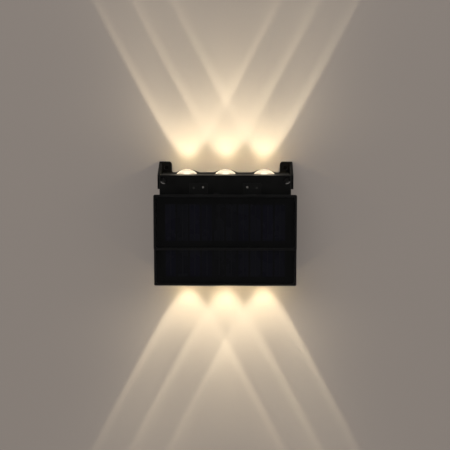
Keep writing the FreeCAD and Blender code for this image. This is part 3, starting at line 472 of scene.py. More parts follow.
def use(tree, group, inputs=None):
    """Places an effect in a finish and returns its outputs."""
    return add(tree, "Group", inputs, node_tree=group).outputs


# %% The sparked grain of a mould
def build_grain():
    """Height is soft noise crossed with shallow pits, both one grain wide. Tone drifts over about
    thirty grains."""
    tree, given, out = effect("Sparked grain", {"Grain": 0.4 * MM}, {"Height": NUMBER, "Tone": NUMBER})
    place = coordinates(tree)
    per_metre = calc("DIVIDE", 1.0, given["Grain"])
    bumps = noise(place, per_metre, detail=3.0, roughness=0.6)
    pits = spots(place, times(per_metre, 0.7))
    fill(out, {"Height": calc("MULTIPLY_ADD", pits, 0.45, times(bumps, 0.55)),
               "Tone": noise(place, calc("DIVIDE", per_metre, 30.0), detail=4.0)})
    return tree


grain = build_grain()


# %% Polished edges
def build_edges():
    """A ray-traced bevel turns the normal near an edge. How far it turns is the mask, broken up by
    noise, and the turned normal itself rounds the edge so that it can catch the light."""
    tree, given, out = effect("Polished edges", {"Radius": 0.3 * MM}, {"Mask": NUMBER, "Normal": ARROW})
    soft = add(tree, "Bevel", {"Radius": given["Radius"]}, samples=6).outputs["Normal"]
    flat = add(tree, "NewGeometry").outputs["Normal"]
    agree = add(tree, "VectorMath", {0: soft, 1: flat}, operation="DOT_PRODUCT").outputs["Value"]
    turned_share = ramp(calc("SUBTRACT", 1.0, agree), 0.03, 0.28)
    patchy = ramp(noise(coordinates(tree), 420.0, detail=4.0), 0.34, 0.62, 0.35, 1.0)
    fill(out, {"Mask": times(turned_share, patchy), "Normal": soft})
    return tree


edges = build_edges()


# %% Settled dust and handling marks
def build_dust():
    """Dust lies where the piece's own normal points up, thicker in patches and in fine specks."""
    tree, given, out = effect("Settled dust", {"Amount": 0.3}, {"Mask": NUMBER})
    place = coordinates(tree)
    level = ramp(parts_of(coordinates(tree, "Normal"))["Z"], 0.45, 0.98)
    patches = ramp(noise(place, 140.0, detail=5.0), 0.35, 0.7)
    specks = ramp(noise(place, 2600.0), 0.55, 0.75, 0.3, 1.0)
    lying = times(level, patches, specks)
    fill(out, {"Mask": calc("MULTIPLY", lying, given["Amount"], clamp=True)})
    return tree


def build_handling():
    """Marks from 0 to 1: wide smears left by fingers, plus hairlines along x where things rubbed past."""
    tree, given, out = effect("Handling marks", {"Size": 14 * MM}, {"Value": NUMBER})
    place = coordinates(tree)
    smears = noise(place, calc("DIVIDE", 1.0, given["Size"]), detail=3.0, roughness=0.65)
    stretched = mapped(place, (60.0, 900.0, 1500.0), rotation=(0.0, 0.12, 0.05))
    hairs = ramp(noise(stretched, 1.0, detail=1.0), 0.68, 0.8)
    fill(out, {"Value": calc("MULTIPLY_ADD", hairs, 0.35, smears, clamp=True)})
    return tree


dust = build_dust()
handling = build_handling()
print("shared effects:", [group.name for group in bpy.data.node_groups])

# %% [markdown]
# ## Plastic, rubber and paint
# The housing, the panel frames, the button and the plugs are all moulded. What sets them apart is
# how coarse the grain is, how glossy it is and how worn. So one function makes them all from a
# few values. The level of the highlights stays low on the outer black pieces: on the real light
# they are a matt black that gives back almost nothing of the room.

# %% A function for moulded finishes
finishes = {}
DUST_COLOUR = seen(120, 114, 106)


def new_finish(slot, name):
    """An empty material for a slot, with its shader. Returns its tree and the shader's node."""
    made = bpy.data.materials.new(name)
    made.use_nodes = True
    tree = made.node_tree
    tree.nodes.clear()
    shader = add(tree, "BsdfPrincipled")
    add(tree, "OutputMaterial", {"Surface": shader.outputs[0]})
    finishes[slot] = made
    return tree, shader


def bump(height, depth, normal=None):
    """A normal that follows a height from 0 to 1, where 1 stands for the given depth in metres."""
    inputs = {"Height": height, "Distance": depth}
    if normal is not None:
        inputs["Normal"] = normal
    return add(tree_of(height), "Bump", inputs).outputs[0]


def moulded(slot, name, colour, worn, roughness=0.5, gloss=0.3, grain_size=0.4, relief=0.03,
            wear=0.5, dusty=0.2, tone=0.25, rear=None):
    """A moulded finish, with grain size and relief in millimetres. Colour drifts by the tone's share,
    edges turn to the worn colour, dust lies on top and takes the gloss there, and the roughness rises
    with the handling marks. Faces towards the wall can have a paler colour of their own, and then the
    colour elsewhere is painted darker, as shade."""
    tree, shader = new_finish(slot, name)
    colour = seen(*colour)
    texture = use(tree, grain, {"Grain": grain_size * MM})
    edge_marks = use(tree, edges)
    facing = parts_of(coordinates(tree, "Normal"))
    lifted = tuple(min(1.0, part * (1 + tone) + tone * 0.002) for part in colour[:3]) + (1.0,)
    base = mix(ramp(texture["Tone"], 0.35, 0.65), colour, lifted)
    if rear is not None:
        patches = ramp(texture["Tone"], 0.25, 0.75, 0.55, 1.0)
        base = mix(times(ramp(facing["Y"], 0.5, 0.9), patches), base, seen(*rear))
    base = mix(times(edge_marks["Mask"], wear), base, seen(*worn))
    lying = use(tree, dust, {"Amount": dusty})["Mask"]
    rough = ramp(use(tree, handling)["Value"], 0.3, 0.8, roughness - 0.04, roughness + 0.06)
    rough = calc("MULTIPLY_ADD", edge_marks["Mask"], -0.12 * wear, rough)
    rough = calc("ADD", rough, ramp(facing["Z"], 0.7, 0.97, 0.0, 0.4))
    fill(shader, {"Base Color": mix(lying, base, DUST_COLOUR), "Specular IOR Level": gloss,
                  "Roughness": calc("MULTIPLY_ADD", lying, 0.4, rough, clamp=True),
                  "Normal": bump(texture["Height"], relief * MM, edge_marks["Normal"])})
    return tree, shader


# %% [markdown]
# Some marks round the screws are painted light and shade. These helpers find such a place by its
# distance from a screw's axis and recolour it: a painted glint at the lower, outer edge of a head or
# a recess, painted shade round the middle of a head, and painted shade in the wall's holes. A
# painted picture could do so as well, but only at one size.

# %% Places round the screws
hinge_screw_head = 3.4 * MM
case_screw_head = 5.6 * MM
recess_radius = 3.3 * MM
case_screws_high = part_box("case_screws")[1]
case_screw_place = case_screws_high.x - case_screw_head / 2, case_screws_high.z - case_screw_head / 2


def from_screw(tree, centre_x, centre_z):
    """The distance from the axis of the nearer of two screws mirrored in x, and its parts."""
    along = parts_of(coordinates(tree))
    aside = calc("SUBTRACT", calc("ABSOLUTE", along["X"]), centre_x)
    above = calc("SUBTRACT", along["Z"], centre_z)
    return reach_of(aside, above), aside, above


def crescent(reach, aside, above, inner, outer):
    """A smooth ring between two radii, cut down to the part that looks down and outwards."""
    starts = ramp(reach, inner - 0.3 * MM, inner + 0.1 * MM)
    ends = ramp(reach, outer + 0.2 * MM, outer - 0.1 * MM)
    downwards = calc("SUBTRACT", times(aside, 0.45), above)
    return times(starts, ends, ramp(calc("DIVIDE", downwards, reach), 0.72, 1.02))


def recolour(shader, mask, colour):
    """Turns a finish's colour to another one where the mask is 1."""
    before = shader.inputs["Base Color"].links[0].from_socket
    fill(shader, {"Base Color": mix(mask, before, colour)})


# %% [markdown]
# The housing has two painted highlights. Its top front edge lies in the light of the domes, so a
# pale line is painted along it that is brightest in front of each dome, and the round recesses of
# the upper case screws get a glint painted on their lip at its lower, outer side.

# %% The housing
def housing_finish():
    """The moulded finish, painted darker away from the wall as shade, with a painted highlight along
    the top front edge and painted glints on the lower, outer lips of the upper recesses.
    """
    # The main black is painted darker, as shade, and the faces towards the wall keep a paler black.
    tree, shader = moulded("housing_plastic", "matt black moulded housing", (4, 4, 4), (36, 35, 34),
                           gloss=0.22, grain_size=0.35, relief=0.02, dusty=0.05, rear=(27, 26, 26))
    rounded = parts_of(use(tree, edges, {"Radius": 0.4 * MM})["Normal"])
    along = parts_of(coordinates(tree))
    painted_edge_light = times(ramp(rounded["Z"], 0.2, 0.5), ramp(rounded["Y"], -0.2, -0.5),
                  ramp(along["Z"], body_top - 0.36 * MM, body_top - 0.12 * MM),
                  ramp(along["Z"], body_top + 0.4 * MM, body_top + 0.1 * MM),
                  ramp(along["Y"], body_low.y + 0.9 * MM, body_low.y + 0.5 * MM))
    sideways = calc("ABSOLUTE", calc("WRAP", along["X"], lens_pitch / 2, -lens_pitch / 2))
    pale = mix(ramp(sideways, 13 * MM, 8 * MM), seen(134, 126, 114), seen(226, 212, 190))
    beside = ramp(calc("ABSOLUTE", along["X"]), 50 * MM, 60 * MM)
    # The top front edge is painted pale, as a highlight from the domes' light.
    recolour(shader, painted_edge_light, mix(beside, pale, seen(70, 66, 61)))
    # The lower, outer lip of each upper recess is painted pale, as a glint.
    lip = crescent(*from_screw(tree, *case_screw_place), recess_radius, recess_radius + 0.55 * MM)
    recolour(shader, lip, seen(104, 101, 98))


housing_finish()

# %% The other black pieces that show
moulded("panel_frame_plastic", "satin black panel frame", (7, 7, 8), (44, 43, 42), 0.4, gloss=0.28,
        grain_size=0.25, relief=0.01, wear=0.6, dusty=0.05)
moulded("button_plastic", "black push button", (17, 17, 18), (48, 48, 48), 0.34, grain_size=0.2,
        relief=0.006)
moulded("seal_rubber", "black rubber", (14, 14, 14), (34, 34, 34), 0.66, gloss=0.25, grain_size=0.18,
        relief=0.012, wear=0.3)
moulded("sealant", "black silicone sealant", (16, 16, 16), (30, 30, 30), 0.38, grain_size=1.6,
        relief=0.08, wear=0.2, tone=0.1, dusty=0.05)
moulded("lead_jacket", "black lead jacket", (16, 16, 17), (44, 44, 44), 0.42, gloss=0.35,
        grain_size=0.5, relief=0.01, wear=0.2)
print("moulded finishes:", sorted(finishes))

# %% [markdown]
# The pieces inside use the same function in their own colours, such as the pale sockets and the
# blue sleeve of the round cell.

# %% The moulded pieces inside
moulded("switch_plastic", "dark switch body", (26, 26, 28), (60, 60, 60), 0.4)
moulded("socket_plastic", "ivory socket", (214, 206, 186), (236, 230, 214), 0.38, gloss=0.45,
        wear=0.3, tone=0.05)
moulded("clamp_plastic", "grey nylon clamp", (150, 150, 146), (184, 184, 180), 0.44, gloss=0.4,
        tone=0.06)
moulded("chip_black", "black epoxy chip", (22, 22, 23), (52, 52, 52), grain_size=0.12, relief=0.008)
moulded("battery_wrap", "blue shrink sleeve", (28, 74, 142), (70, 116, 176), 0.26, gloss=0.5,
        grain_size=3, relief=0.05, wear=0.3, tone=0.12)
print("finishes so far:", len(finishes))

# %% [markdown]
# ## Metal
# Screws, brackets, pins and tabs are metal. Rolled or turned metal has fine lines in it, which
# stretch the highlight, and duller patches. The lines come from noise that is stretched along one
# axis or two, and they change both the roughness and the relief a little.

# %% A function for metal finishes
ALONG_X, ALONG_Y, ALONG_Z = (1.0, 12.0, 12.0), (12.0, 1.0, 12.0), (12.0, 12.0, 1.0)
AROUND_Z = (1.0, 1.0, 12.0)


def metal(slot, name, colour, dull, roughness=0.3, lines=AROUND_Z, metallic=1.0, gloss=0.5,
          edge=0.15 * MM):
    """Metal whose colour dulls in patches, with fine lines along the axes that have the smallest shares."""
    tree, shader = new_finish(slot, name)
    place = coordinates(tree)
    brushed = noise(mapped(place, lines), 1600.0, roughness=0.6)
    patches = noise(place, 700.0, detail=4.0)
    edge_marks = use(tree, edges, {"Radius": edge})
    base = mix(ramp(patches, 0.42, 0.68), seen(*colour), seen(*dull))
    fill(shader, {"Base Color": mix(times(edge_marks["Mask"], 0.4), base, seen(*colour)),
                  "Roughness": ramp(brushed, 0.3, 0.7, roughness - 0.07, roughness + 0.1),
                  "Normal": bump(brushed, 0.004 * MM, edge_marks["Normal"]),
                  "Metallic": metallic, "Specular IOR Level": gloss})
    return tree, shader


# %% Worn screw heads
def hinge_screw_finish():
    """Bright nickel in the middle of the head, and painted shade round it, so that only the middle glints."""
    low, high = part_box("hinge_screws")
    tree, shader = metal("nickel_screw", "nickel screw", (196, 194, 190), (160, 157, 150), 0.42,
                         metallic=0.85)
    reach = from_screw(tree, high.x - hinge_screw_head / 2, (low.z + high.z) / 2)[0]
    # Painted shade round the middle of each hinge screw's head.
    recolour(shader, ramp(reach, 0.8 * MM, 1.25 * MM), seen(24, 23, 22))


def case_screw_finish():
    """Blackened steel, with a pale crescent painted as a glint at the lower, outer edge of the upper heads.
    """
    tree, shader = metal("dark_screw", "blackened case screw", (30, 29, 28), (18, 17, 17), 0.42,
                         metallic=0.5)
    painted_glint = crescent(*from_screw(tree, *case_screw_place), 2.2 * MM, case_screw_head / 2)
    # A pale crescent is painted on the upper heads, as a glint.
    recolour(shader, painted_glint, seen(90, 88, 86))


hinge_screw_finish()
case_screw_finish()
metal("hinge_pin_steel", "steel hinge pin", (150, 149, 147), (104, 102, 98), lines=ALONG_X)
metal("inner_screw", "zinc screw", (176, 176, 172), (140, 137, 126), 0.32)
metal("hinge_metal", "black painted bracket", (8, 8, 8), (12, 12, 12), 0.45, metallic=0.0, gloss=0.25)
# The pins' heads are painted paler than the bracket, as a faint glint.
metal("pin_head", "rubbed pin head", (44, 43, 42), (34, 33, 33), 0.4, metallic=0.2)
metal("tab_metal", "nickel tab", (182, 178, 168), (150, 144, 130), lines=ALONG_Z)
metal("capacitor_can", "aluminium can", (178, 180, 184), (150, 152, 156), lines=ALONG_Y)
print("finishes so far:", len(finishes))

# %% [markdown]
# ## The boards
# The control board is green, with copper tracks that show as slightly raised, lighter lines under
# the lacquer. The light boards are the same with white lacquer, which throws the light back
# into the lens. The tracks are the mortar lines of a brick pattern.

# %% Lacquered boards
def board(slot, name, lacquer, track, across):
    """Lacquer over the tracks of a brick pattern, with dots for the pads. Across turns the pattern."""
    tree, shader = new_finish(slot, name)
    place = coordinates(tree)
    bricks = {"Vector": mapped(place, (1 / MM, 1 / MM, 1 / MM), across), "Scale": 0.16, "Mortar Size": 0.045,
              "Mortar Smooth": 0.3, "Row Height": 0.6, "Brick Width": 2.4}
    tracks = add(tree, "TexBrick", bricks).outputs["Fac"]
    pads = ramp(spots(place, 210.0, randomness=0.6), 0.11, 0.09)
    base = mix(times(tracks, 0.7), seen(*lacquer), seen(*track))
    texture = use(tree, grain, {"Grain": 0.3 * MM})
    height = calc("MULTIPLY_ADD", texture["Height"], 0.1, tracks)
    fill(shader, {"Base Color": mix(pads, base, seen(206, 178, 104)), "Normal": bump(height, 0.04 * MM),
                  "Roughness": ramp(texture["Tone"], 0.3, 0.7, 0.24, 0.4)})


board("circuit_board", "green lacquered board", (18, 82, 46), (46, 118, 70), (math.pi / 2, 0.0, 0.0))
board("led_board_white", "white light board", (228, 222, 206), (240, 236, 224), (0.0, 0.0, 0.0))

# %% [markdown]
# ## The solar panels
# Each panel is a black backing sheet with ten strips of blue-black silicon on it, joined by flat
# metal ribbons and covered by a clear sheet. The strips differ a little in tint, because each is
# cut from another wafer, and fine silver fingers cross them. All of that comes from the place on
# the panel: the strip's number sets its tint, and the height sets the fingers.

# %% The silicon strips
cell_gap = 2.0 * MM
cell_count = 10
finger_pitch = 1.55 * MM
finger_share = 0.09
cells_left, cells_right = (corner.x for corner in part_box("upper_panel_cells"))
cell_pitch = (cells_right - cells_left + cell_gap) / cell_count
middle_number = (cell_count - 1) / 2


def silicon():
    """Blue-black silicon with a tint for each strip, crystal sheen, lighter sides and silver fingers.
    The tint is a random number for each strip, and weaker in the middle of the panel."""
    tree, shader = new_finish("solar_cell", "blue black silicon")
    place = coordinates(tree)
    along = parts_of(place)
    strips = calc("DIVIDE", calc("SUBTRACT", along["X"], cells_left), cell_pitch)
    number = calc("FLOOR", strips)
    tint = add(tree, "TexWhiteNoise", {"W": number}, noise_dimensions="1D").outputs["Value"]
    off_middle = calc("DIVIDE", gap(number, middle_number), middle_number)
    tint = times(tint, ramp(off_middle, 0.1, 0.8, 0.35, 1.0))
    silver = seen(24, 24, 31)
    base = mix(tint, seen(12, 12, 15), seen(19, 17, 38))
    sheen = ramp(noise(place, 55.0, detail=3.0), 0.4, 0.75, 0.0, 0.6)
    base = mix(sheen, base, seen(16, 16, 28))
    from_middle = gap(calc("FRACT", strips), 0.5 - cell_gap / cell_pitch / 2)
    base = mix(ramp(from_middle, 0.37, 0.41, 0.0, 0.5), base, silver)
    rows = calc("FRACT", calc("DIVIDE", along["Z"], finger_pitch))
    finger = ramp(gap(rows, 0.5), finger_share, finger_share / 2)
    fill(shader, {"Base Color": mix(finger, base, silver), "Normal": bump(finger, 0.012 * MM),
                  "Roughness": ramp(sheen, 0.0, 0.6, 0.26, 0.42), "Specular IOR Level": 0.1})


silicon()
moulded("panel_laminate", "black backing sheet", (5, 5, 5), (10, 10, 10), gloss=0.05,
        grain_size=0.6, relief=0.01, wear=0.0, dusty=0.0)
metal("busbar_metal", "tinned ribbon", (24, 25, 28), (18, 18, 22), 0.5, lines=ALONG_Z, metallic=0.3,
      gloss=0.2, edge=0.01 * MM)
print("cell pitch", round(cell_pitch / MM, 2), "mm")

# %% [markdown]
# The clear sheet could be glass that bends light, but that is noisy over such dark cells. It is a
# thin dark film instead, which lets most of the light through seen straight on, and reflects more
# the flatter it is seen. That is what a real sheet does, and it stays clean.

# %% The clear sheet
def clear_sheet():
    """A glossy film that is nearly invisible straight on and closes at a glancing angle, with wide
    soft smears."""
    tree, shader = new_finish("panel_glazing", "clear panel sheet")
    place = coordinates(tree)
    glancing = add(tree, "Fresnel", {"IOR": 1.45}).outputs[0]
    fill(shader, {"Base Color": seen(9, 9, 11),
                  "Alpha": calc("MULTIPLY_ADD", glancing, 1.5, 0.02, clamp=True),
                  "Roughness": ramp(noise(place, 26.0, detail=1.0), 0.3, 0.7, 0.27, 0.34),
                  "Normal": bump(noise(place, 45.0, detail=0.0), 0.02 * MM)})


clear_sheet()

# %% [markdown]
# ## The lit lenses
# The photograph shows the light switched on, so each dome glows a warm cream. The plate is clear
# plastic that bends light, and the glow is added where the surface belongs to a dome: the
# distance to the nearest dome's middle decides it. Faint rings, like those that turning leaves in
# a mould, keep the glow from being one flat colour.

# %% Clear plastic with a warm glow
LENS_INDEX = 1.58
WARM_MIDDLE, WARM_EDGE = seen(252, 240, 214), seen(250, 220, 180)
DARK = (0.0, 0.0, 0.0, 1.0)


def lit_lens():
    """Clear plastic, with light that is strongest over each dome and fades past its foot."""
    tree, shader = new_finish("lens_clear", "lit clear lens")
    place = coordinates(tree)
    along = parts_of(place)
    sideways = calc("WRAP", along["X"], lens_pitch / 2, -lens_pitch / 2)
    outwards = calc("ADD", along["Y"], lens_depth)
    distance = calc("DIVIDE", reach_of(sideways, outwards), dome_radius)
    rings = calc("SINE", times(distance, 52.0))
    warm = mix(ramp(distance, 0.55, 1.05), WARM_MIDDLE, WARM_EDGE)
    # A warmer ring and a darker ring are painted into the glow.
    warm = mix(ramp(gap(distance, 0.42), 0.2, 0.05), warm, WARM_EDGE)
    hollow = ramp(gap(distance, 0.45), 0.32, 0.08)
    level = calc("MULTIPLY_ADD", rings, 0.04, calc("MULTIPLY_ADD", noise(place, 260.0), 0.12, 0.88))
    level = times(ramp(distance, 1.12, 0.72), calc("MULTIPLY_ADD", hollow, -0.28, level))
    fill(shader, {"Emission Color": mix(level, DARK, warm), "Emission Strength": 0.68,
                  "Normal": bump(calc("MULTIPLY_ADD", rings, 0.5, 0.5), 0.01 * MM),
                  "Base Color": seen(250, 248, 242), "Transmission Weight": 1.0, "Roughness": 0.06,
                  "IOR": LENS_INDEX})


def phosphor():
    """A shining surface, paler where the fine grain of the phosphor stands higher."""
    tree, shader = new_finish("led_phosphor", "warm phosphor")
    height = use(tree, grain, {"Grain": 0.15 * MM})["Height"]
    glow = mix(height, seen(255, 226, 170), seen(255, 240, 206))
    fill(shader, {"Emission Color": glow, "Emission Strength": 1.4, "Normal": bump(height, 0.02 * MM),
                  "Base Color": seen(240, 206, 90), "Roughness": 0.5})


lit_lens()
phosphor()

# %% [markdown]
# ## Dressing the pieces
# Every node arrives with a plain material named after its slot. Each one is swapped for the finish
# made above, in the same material slot, so the meshes themselves stay as they are.

# %% Give every piece its finish
for node in nodes.values():
    for place_in_list, plain in enumerate(node.data.materials):
        node.data.materials[place_in_list] = finishes[plain.name.split(".")[0]]
nodes["hinge_locating_pins"].data.materials[0] = finishes["pin_head"]
for piece in made_pieces:
    piece.data.materials.append(finishes[piece["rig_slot"]])
print("dressed", len(nodes), "nodes")

# %% [markdown]
# ## The stage
# This light hangs on a wall, so a plain pale wall stands right behind it, and a pale floor lies
# well below. Both fade out with the distance from the light, into a background of nearly the same
# colour, so that no edge or horizon crosses a picture. Each is seen from its front only: the wall
# would hide the light's back, and the floor its underside. The wall also shows itself to the
# camera alone, so that it doesn't darken the pieces beside it. It gives back a share of its colour
# by itself, as a wall in a lit room does, so that the shadows on it stay soft.

# %% Wall and floor
STAGE_COLOUR = seen(206, 201, 194)
floor_level = body_low.z - 400 * MM
hole_aside = 61.4 * MM
ring_count = 24


def disc(radius, up, middle):
    """A flat disc: middle plus radius times cosine along x and sine along another way, for an even
    step of radius."""
    reach = np.linspace(0, radius, ring_count)[:, None, None]
    angle = (np.arange(turn_points) * 2 * np.pi / turn_points)[None, :, None]
    return np.array(middle) + reach * (np.cos(angle) * np.array([1, 0, 0]) + np.sin(angle) * np.array(up))


def painted_hole_shade(tree, colour):
    """The wall's colour, but painted black, as shade, where it shows through the two holes of the ears."""
    reach = from_screw(tree, hole_aside, 0.0)[0]
    return mix(ramp(reach, 3.0 * MM, 2.6 * MM), colour, seen(12, 11, 10))


def stage_sheet(name, radius, up, middle, facing, colour, own_light, fade, camera_only):
    """A disc of pale paint that looks the given way. It is see-through from behind and fades between
    two distances from its middle. Its own light is the share of its colour that it shows in the dark."""
    made = piece_from(name, [(disc(radius, up, middle), True)])
    if made.data.polygons[0].normal.dot(facing) < 0:
        made.data.flip_normals()
    tree, shader = new_finish(name, name + " paint")
    away = add(tree, "VectorMath", {0: coordinates(tree), 1: middle}, operation="DISTANCE")
    behind = add(tree, "NewGeometry").outputs["Backfacing"]
    shown = times(ramp(away.outputs["Value"], *fade), calc("SUBTRACT", 1.0, behind))
    dimmed = scaled(colour, 1 - own_light)
    if camera_only:
        shown = times(shown, add(tree, "LightPath").outputs["Is Camera Ray"])
        # Painted shade: the wall is black where it shows through the ear holes.
        colour, dimmed = painted_hole_shade(tree, colour), painted_hole_shade(tree, dimmed)
    fill(shader, {"Base Color": dimmed, "Emission Color": colour, "Emission Strength": own_light,
                  "Alpha": shown, "Roughness": 0.9, "Specular IOR Level": 0.1})
    made.data.materials.append(finishes.pop(name))


stage_sheet("wall", radius=1.3, up=(0, 0, 1), middle=(0.0, 0.4 * MM, body_middle), facing=(0, -1, 0),
            colour=seen(134, 126, 120), own_light=0.5, fade=(1.2, 0.4), camera_only=True)
stage_sheet("floor", radius=1.6, up=(0, 1, 0), middle=(0.0, 0.0, floor_level), facing=(0, 0, 1),
            colour=STAGE_COLOUR, own_light=0.92, fade=(1.5, 0.35), camera_only=False)

# %% Background
FILL_LEVEL, ROOM_SHARE = 0.55, 0.05
FILL_COLOUR = scaled((1.0, 0.99, 0.975), FILL_LEVEL)


def background():
    """Pale for the camera, for gloss and through clear plastic, and a soft even fill for everything
    else. Gloss sees it darken straight in front of the wall and straight behind, so that black
    stays black."""
    world = bpy.data.worlds.new("pale room")
    world.use_nodes = True
    tree = world.node_tree
    tree.nodes.clear()
    ray = add(tree, "LightPath").outputs
    facing = calc("ABSOLUTE", parts_of(coordinates(tree, "Generated"))["Y"])
    glossy = mix(ramp(facing, 0.96, 0.35), scaled(STAGE_COLOUR, ROOM_SHARE), STAGE_COLOUR)
    seen_through = calc("MAXIMUM", ray["Is Camera Ray"], ray["Is Transmission Ray"])
    colour = mix(seen_through, mix(ray["Is Glossy Ray"], FILL_COLOUR, glossy), STAGE_COLOUR)
    sky = add(tree, "Background", {"Color": colour, "Strength": 1.0})
    add(tree, "OutputWorld", {"Surface": sky.outputs[0]})
    bpy.context.scene.world = world


background()

# %% [markdown]
# Four soft lamps model the black shape: a large one in front and above on the left, a weaker one on
# the right, and two behind that draw the edges and the back. Only the one on the right shows in
# gloss. Each lamp's power comes from how much light should arrive: an even lamp of power P lights a
# surface D away with P over pi D squared, and a surface looks as bright as its colour when pi
# arrives.

# %% Studio lamps
aim = Vector((0.0, -40 * MM, body_middle))


def soft_lamp(name, place, size, share, mirrored=True):
    """A square lamp that gives the light that share of full brightness. Gloss can leave it out."""
    way = aim - Vector(place)
    data = bpy.data.lights.new(name, "AREA")
    data.size = size
    data.energy = share * math.pi ** 2 * way.length ** 2
    made = put(name, data, place)
    made.rotation_euler = way.to_track_quat("-Z", "Y").to_euler()
    made.visible_glossy = mirrored


soft_lamp("front_lamp", (-0.7, -1.7, 1.0), 1.5, 0.48, mirrored=False)
soft_lamp("side_lamp", (1.6, -1.0, 0.35), 0.9, 0.18)
for number, aside in ((1, -1.2), (2, 1.2)):
    soft_lamp(f"back_lamp_{number}", (aside, 1.4, 0.95), 1.5, 0.5, mirrored=False)

# %% [markdown]
# The light is on, so each dome throws a warm beam on the wall. The dome itself shines by its
# finish, and a spot lamp stands for the beam. A lens gathers the light of its chip, so the beam
# seems to start below the dome, and the lamp sits there and casts no shadow, because the plate
# above it would stop it. A spot lamp's own edge is as sharp near the dome as far from it, so the
# lamp is wide open and its nodes draw the edge instead: they work out how far outside the beam a
# place on the wall is, and give it a soft edge and a faint glow beyond. A camera flattens the
# brightest light, so each beam is held back close to its dome and where it crosses another one. A
# second, weak lamp stands for the light that the dome spills on the wall right beside it.

# %% The beams of the domes
spot_angle = math.radians(150)
spot_blend = 0.15
beam_below_dome = 25.0 * MM
beam_colour = seen(255, 244, 212)[:3]
beam_power, beam_level = 3.1, 0.25
beam_towards_wall, beam_along_axis = -1.0, -2.0
least_to_wall = 0.1
beam_edge = math.tan(math.radians(27.1))
beam_softness = 3.2 * MM
beam_fade = (1.27, 2.2)
beam_middle, middle_to_wall, middle_aside = 0.44, (0.13, 0.28), (0.05, 0.32)
rim_gain, rim_place, rim_width = 0.5, 5.5 * MM, 4.0 * MM
crossing_level, further_up = 0.66, (3.0, 6.0)
near_level, near_dome = 0.62, (2.0, 3.7)
glow_share, glow_reach, glow_fade = 0.35, 28 * MM, (1.5, 5.1)
spill_power, spill_above_dome = 0.07, 12.5 * MM
spill_colour = seen(255, 232, 172)[:3]
dome_lamp_radius = 1.5 * MM


def dome_lamp(name, kind, x, z, power, colour):
    """A small warm lamp above the middle of a dome, or below it."""
    data = bpy.data.lights.new(name, kind)
    data.energy = power
    data.shadow_soft_size = dome_lamp_radius
    data.color = colour
    made = put(name, data, (x, -lens_depth, z))
    made.visible_camera = made.visible_glossy = made.visible_transmission = False
    return made


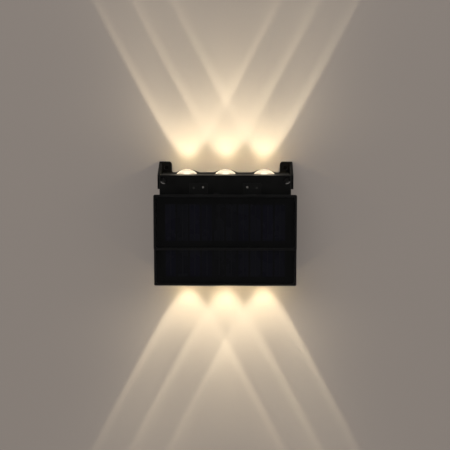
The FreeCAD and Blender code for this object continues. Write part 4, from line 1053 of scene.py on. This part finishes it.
def beam(name, x, z, turn, neighbours):
    """A spot lamp without shadows, turned from pointing down by an angle about x. Its strength is a
    product of two powers, of the way's share towards the wall and of its share along the axis, so
    that the wall is lit evenly across the beam and fades only with the height. Further from the
    dome, the middle is held back. A place on the wall is outside the beam by the lens's depth, times
    the way's share across the axis less the edge's, over its share towards the wall. The glow
    outside falls to about a third in each reach. Both fade towards the light itself, by the height
    over the lens's depth. Further up, the rim is brighter, by a bell curve over the distance
    outside. The same distance for a neighbour's beam says where the two cross, and there this one
    is held back."""
    made = dome_lamp(name, "SPOT", x, z, beam_power, beam_colour)
    made.rotation_euler = (turn, 0.0, 0.0)
    made.data.spot_size = spot_angle
    made.data.spot_blend = spot_blend
    made.data.use_shadow = False
    made.data.use_nodes = True
    tree = made.data.node_tree
    tree.nodes.clear()
    way = parts_of(coordinates(tree, "Normal"))
    to_wall = calc("MAXIMUM", calc("ABSOLUTE", way["Y"]), least_to_wall)
    on_axis = calc("ABSOLUTE", way["Z"])
    strength = times(calc("POWER", to_wall, beam_towards_wall), calc("POWER", on_axis, beam_along_axis))
    aside = calc("ABSOLUTE", calc("DIVIDE", way["X"], way["Z"]))
    held = ramp(to_wall, *middle_to_wall, beam_middle, 1.0)
    strength = times(strength, ramp(aside, *middle_aside, held, 1.0))
    outside = calc("SUBTRACT", reach_of(way["X"], way["Y"]), times(on_axis, beam_edge))
    outside = times(calc("DIVIDE", outside, to_wall), lens_depth)
    height = calc("DIVIDE", on_axis, to_wall)
    high_up = ramp(height, *further_up)
    off_rim = calc("DIVIDE", calc("ADD", outside, rim_place), rim_width)
    rim = calc("EXPONENT", times(off_rim, times(off_rim, -1.0)))
    core = times(ramp(outside, beam_softness, -beam_softness), ramp(height, *beam_fade),
                 calc("MULTIPLY_ADD", rim, times(high_up, rim_gain), 1.0),
                 ramp(height, *near_dome, near_level, 1.0))
    over = times(calc("DIVIDE", way["X"], to_wall), lens_depth)
    level = calc("MULTIPLY_ADD", high_up, 1.0 - crossing_level, crossing_level)
    for side in neighbours:
        apart = calc("SUBTRACT", over, side * lens_pitch)
        reach = calc("SQRT", calc("MULTIPLY_ADD", apart, apart, lens_depth ** 2))
        crossed = calc("SUBTRACT", reach, times(height, lens_depth * beam_edge))
        core = times(core, ramp(crossed, beam_softness, -beam_softness, 1.0, level))
    halo = calc("EXPONENT", calc("DIVIDE", calc("MAXIMUM", outside, 0.0), -glow_reach))
    halo = times(halo, ramp(height, *glow_fade, 0.0, glow_share))
    strength = times(strength, calc("MAXIMUM", core, halo), beam_level)
    glow = add(tree, "Emission", {"Strength": strength})
    add(tree, "OutputLight", {"Surface": glow.outputs[0]})


beam_start = lens_high.z - beam_below_dome
spill_start = lens_high.z + spill_above_dome
for index in LENSES:
    x = index * lens_pitch
    neighbours = [side for side in (-1, 1) if index + side in LENSES]
    beam(f"top_beam_{index + 2}", x, beam_start, math.pi, neighbours)
    beam(f"bottom_beam_{index + 2}", x, 2 * body_middle - beam_start, 0.0, neighbours)
    for end, z in (("top", spill_start), ("bottom", 2 * body_middle - spill_start)):
        dome_lamp(f"{end}_spill_{index + 2}", "POINT", x, z, spill_power, spill_colour)
print("lamps:", len(bpy.data.lights))

# %% [markdown]
# ## The camera
# The picture was taken from about 1.1 m in front, six degrees above the light's middle and one
# degree to the right. A long lens gives the same framing. The image is square.

# %% Camera
IMAGE_WIDTH = 450
FOCAL_PIXELS = 1104
camera_distance = 1.110
camera_above = math.radians(6.2)
camera_right = math.radians(1.0)
aim_point = Vector((-0.2 * MM, -39 * MM, -55.4 * MM))

camera_data = bpy.data.cameras.new("camera")
camera_data.sensor_width = 36.0
camera_data.lens = FOCAL_PIXELS * camera_data.sensor_width / IMAGE_WIDTH
camera_data.clip_start = 0.01
back = Vector((math.sin(camera_right) * math.cos(camera_above),
               -math.cos(camera_right) * math.cos(camera_above), math.sin(camera_above)))
camera = put("camera", camera_data, aim_point + camera_distance * back)
camera.rotation_euler = (-back).to_track_quat("-Z", "Y").to_euler()
bpy.context.scene.camera = camera
bpy.context.scene.view_settings.view_transform = "Standard"
print("camera at", [round(value, 3) for value in camera.location])
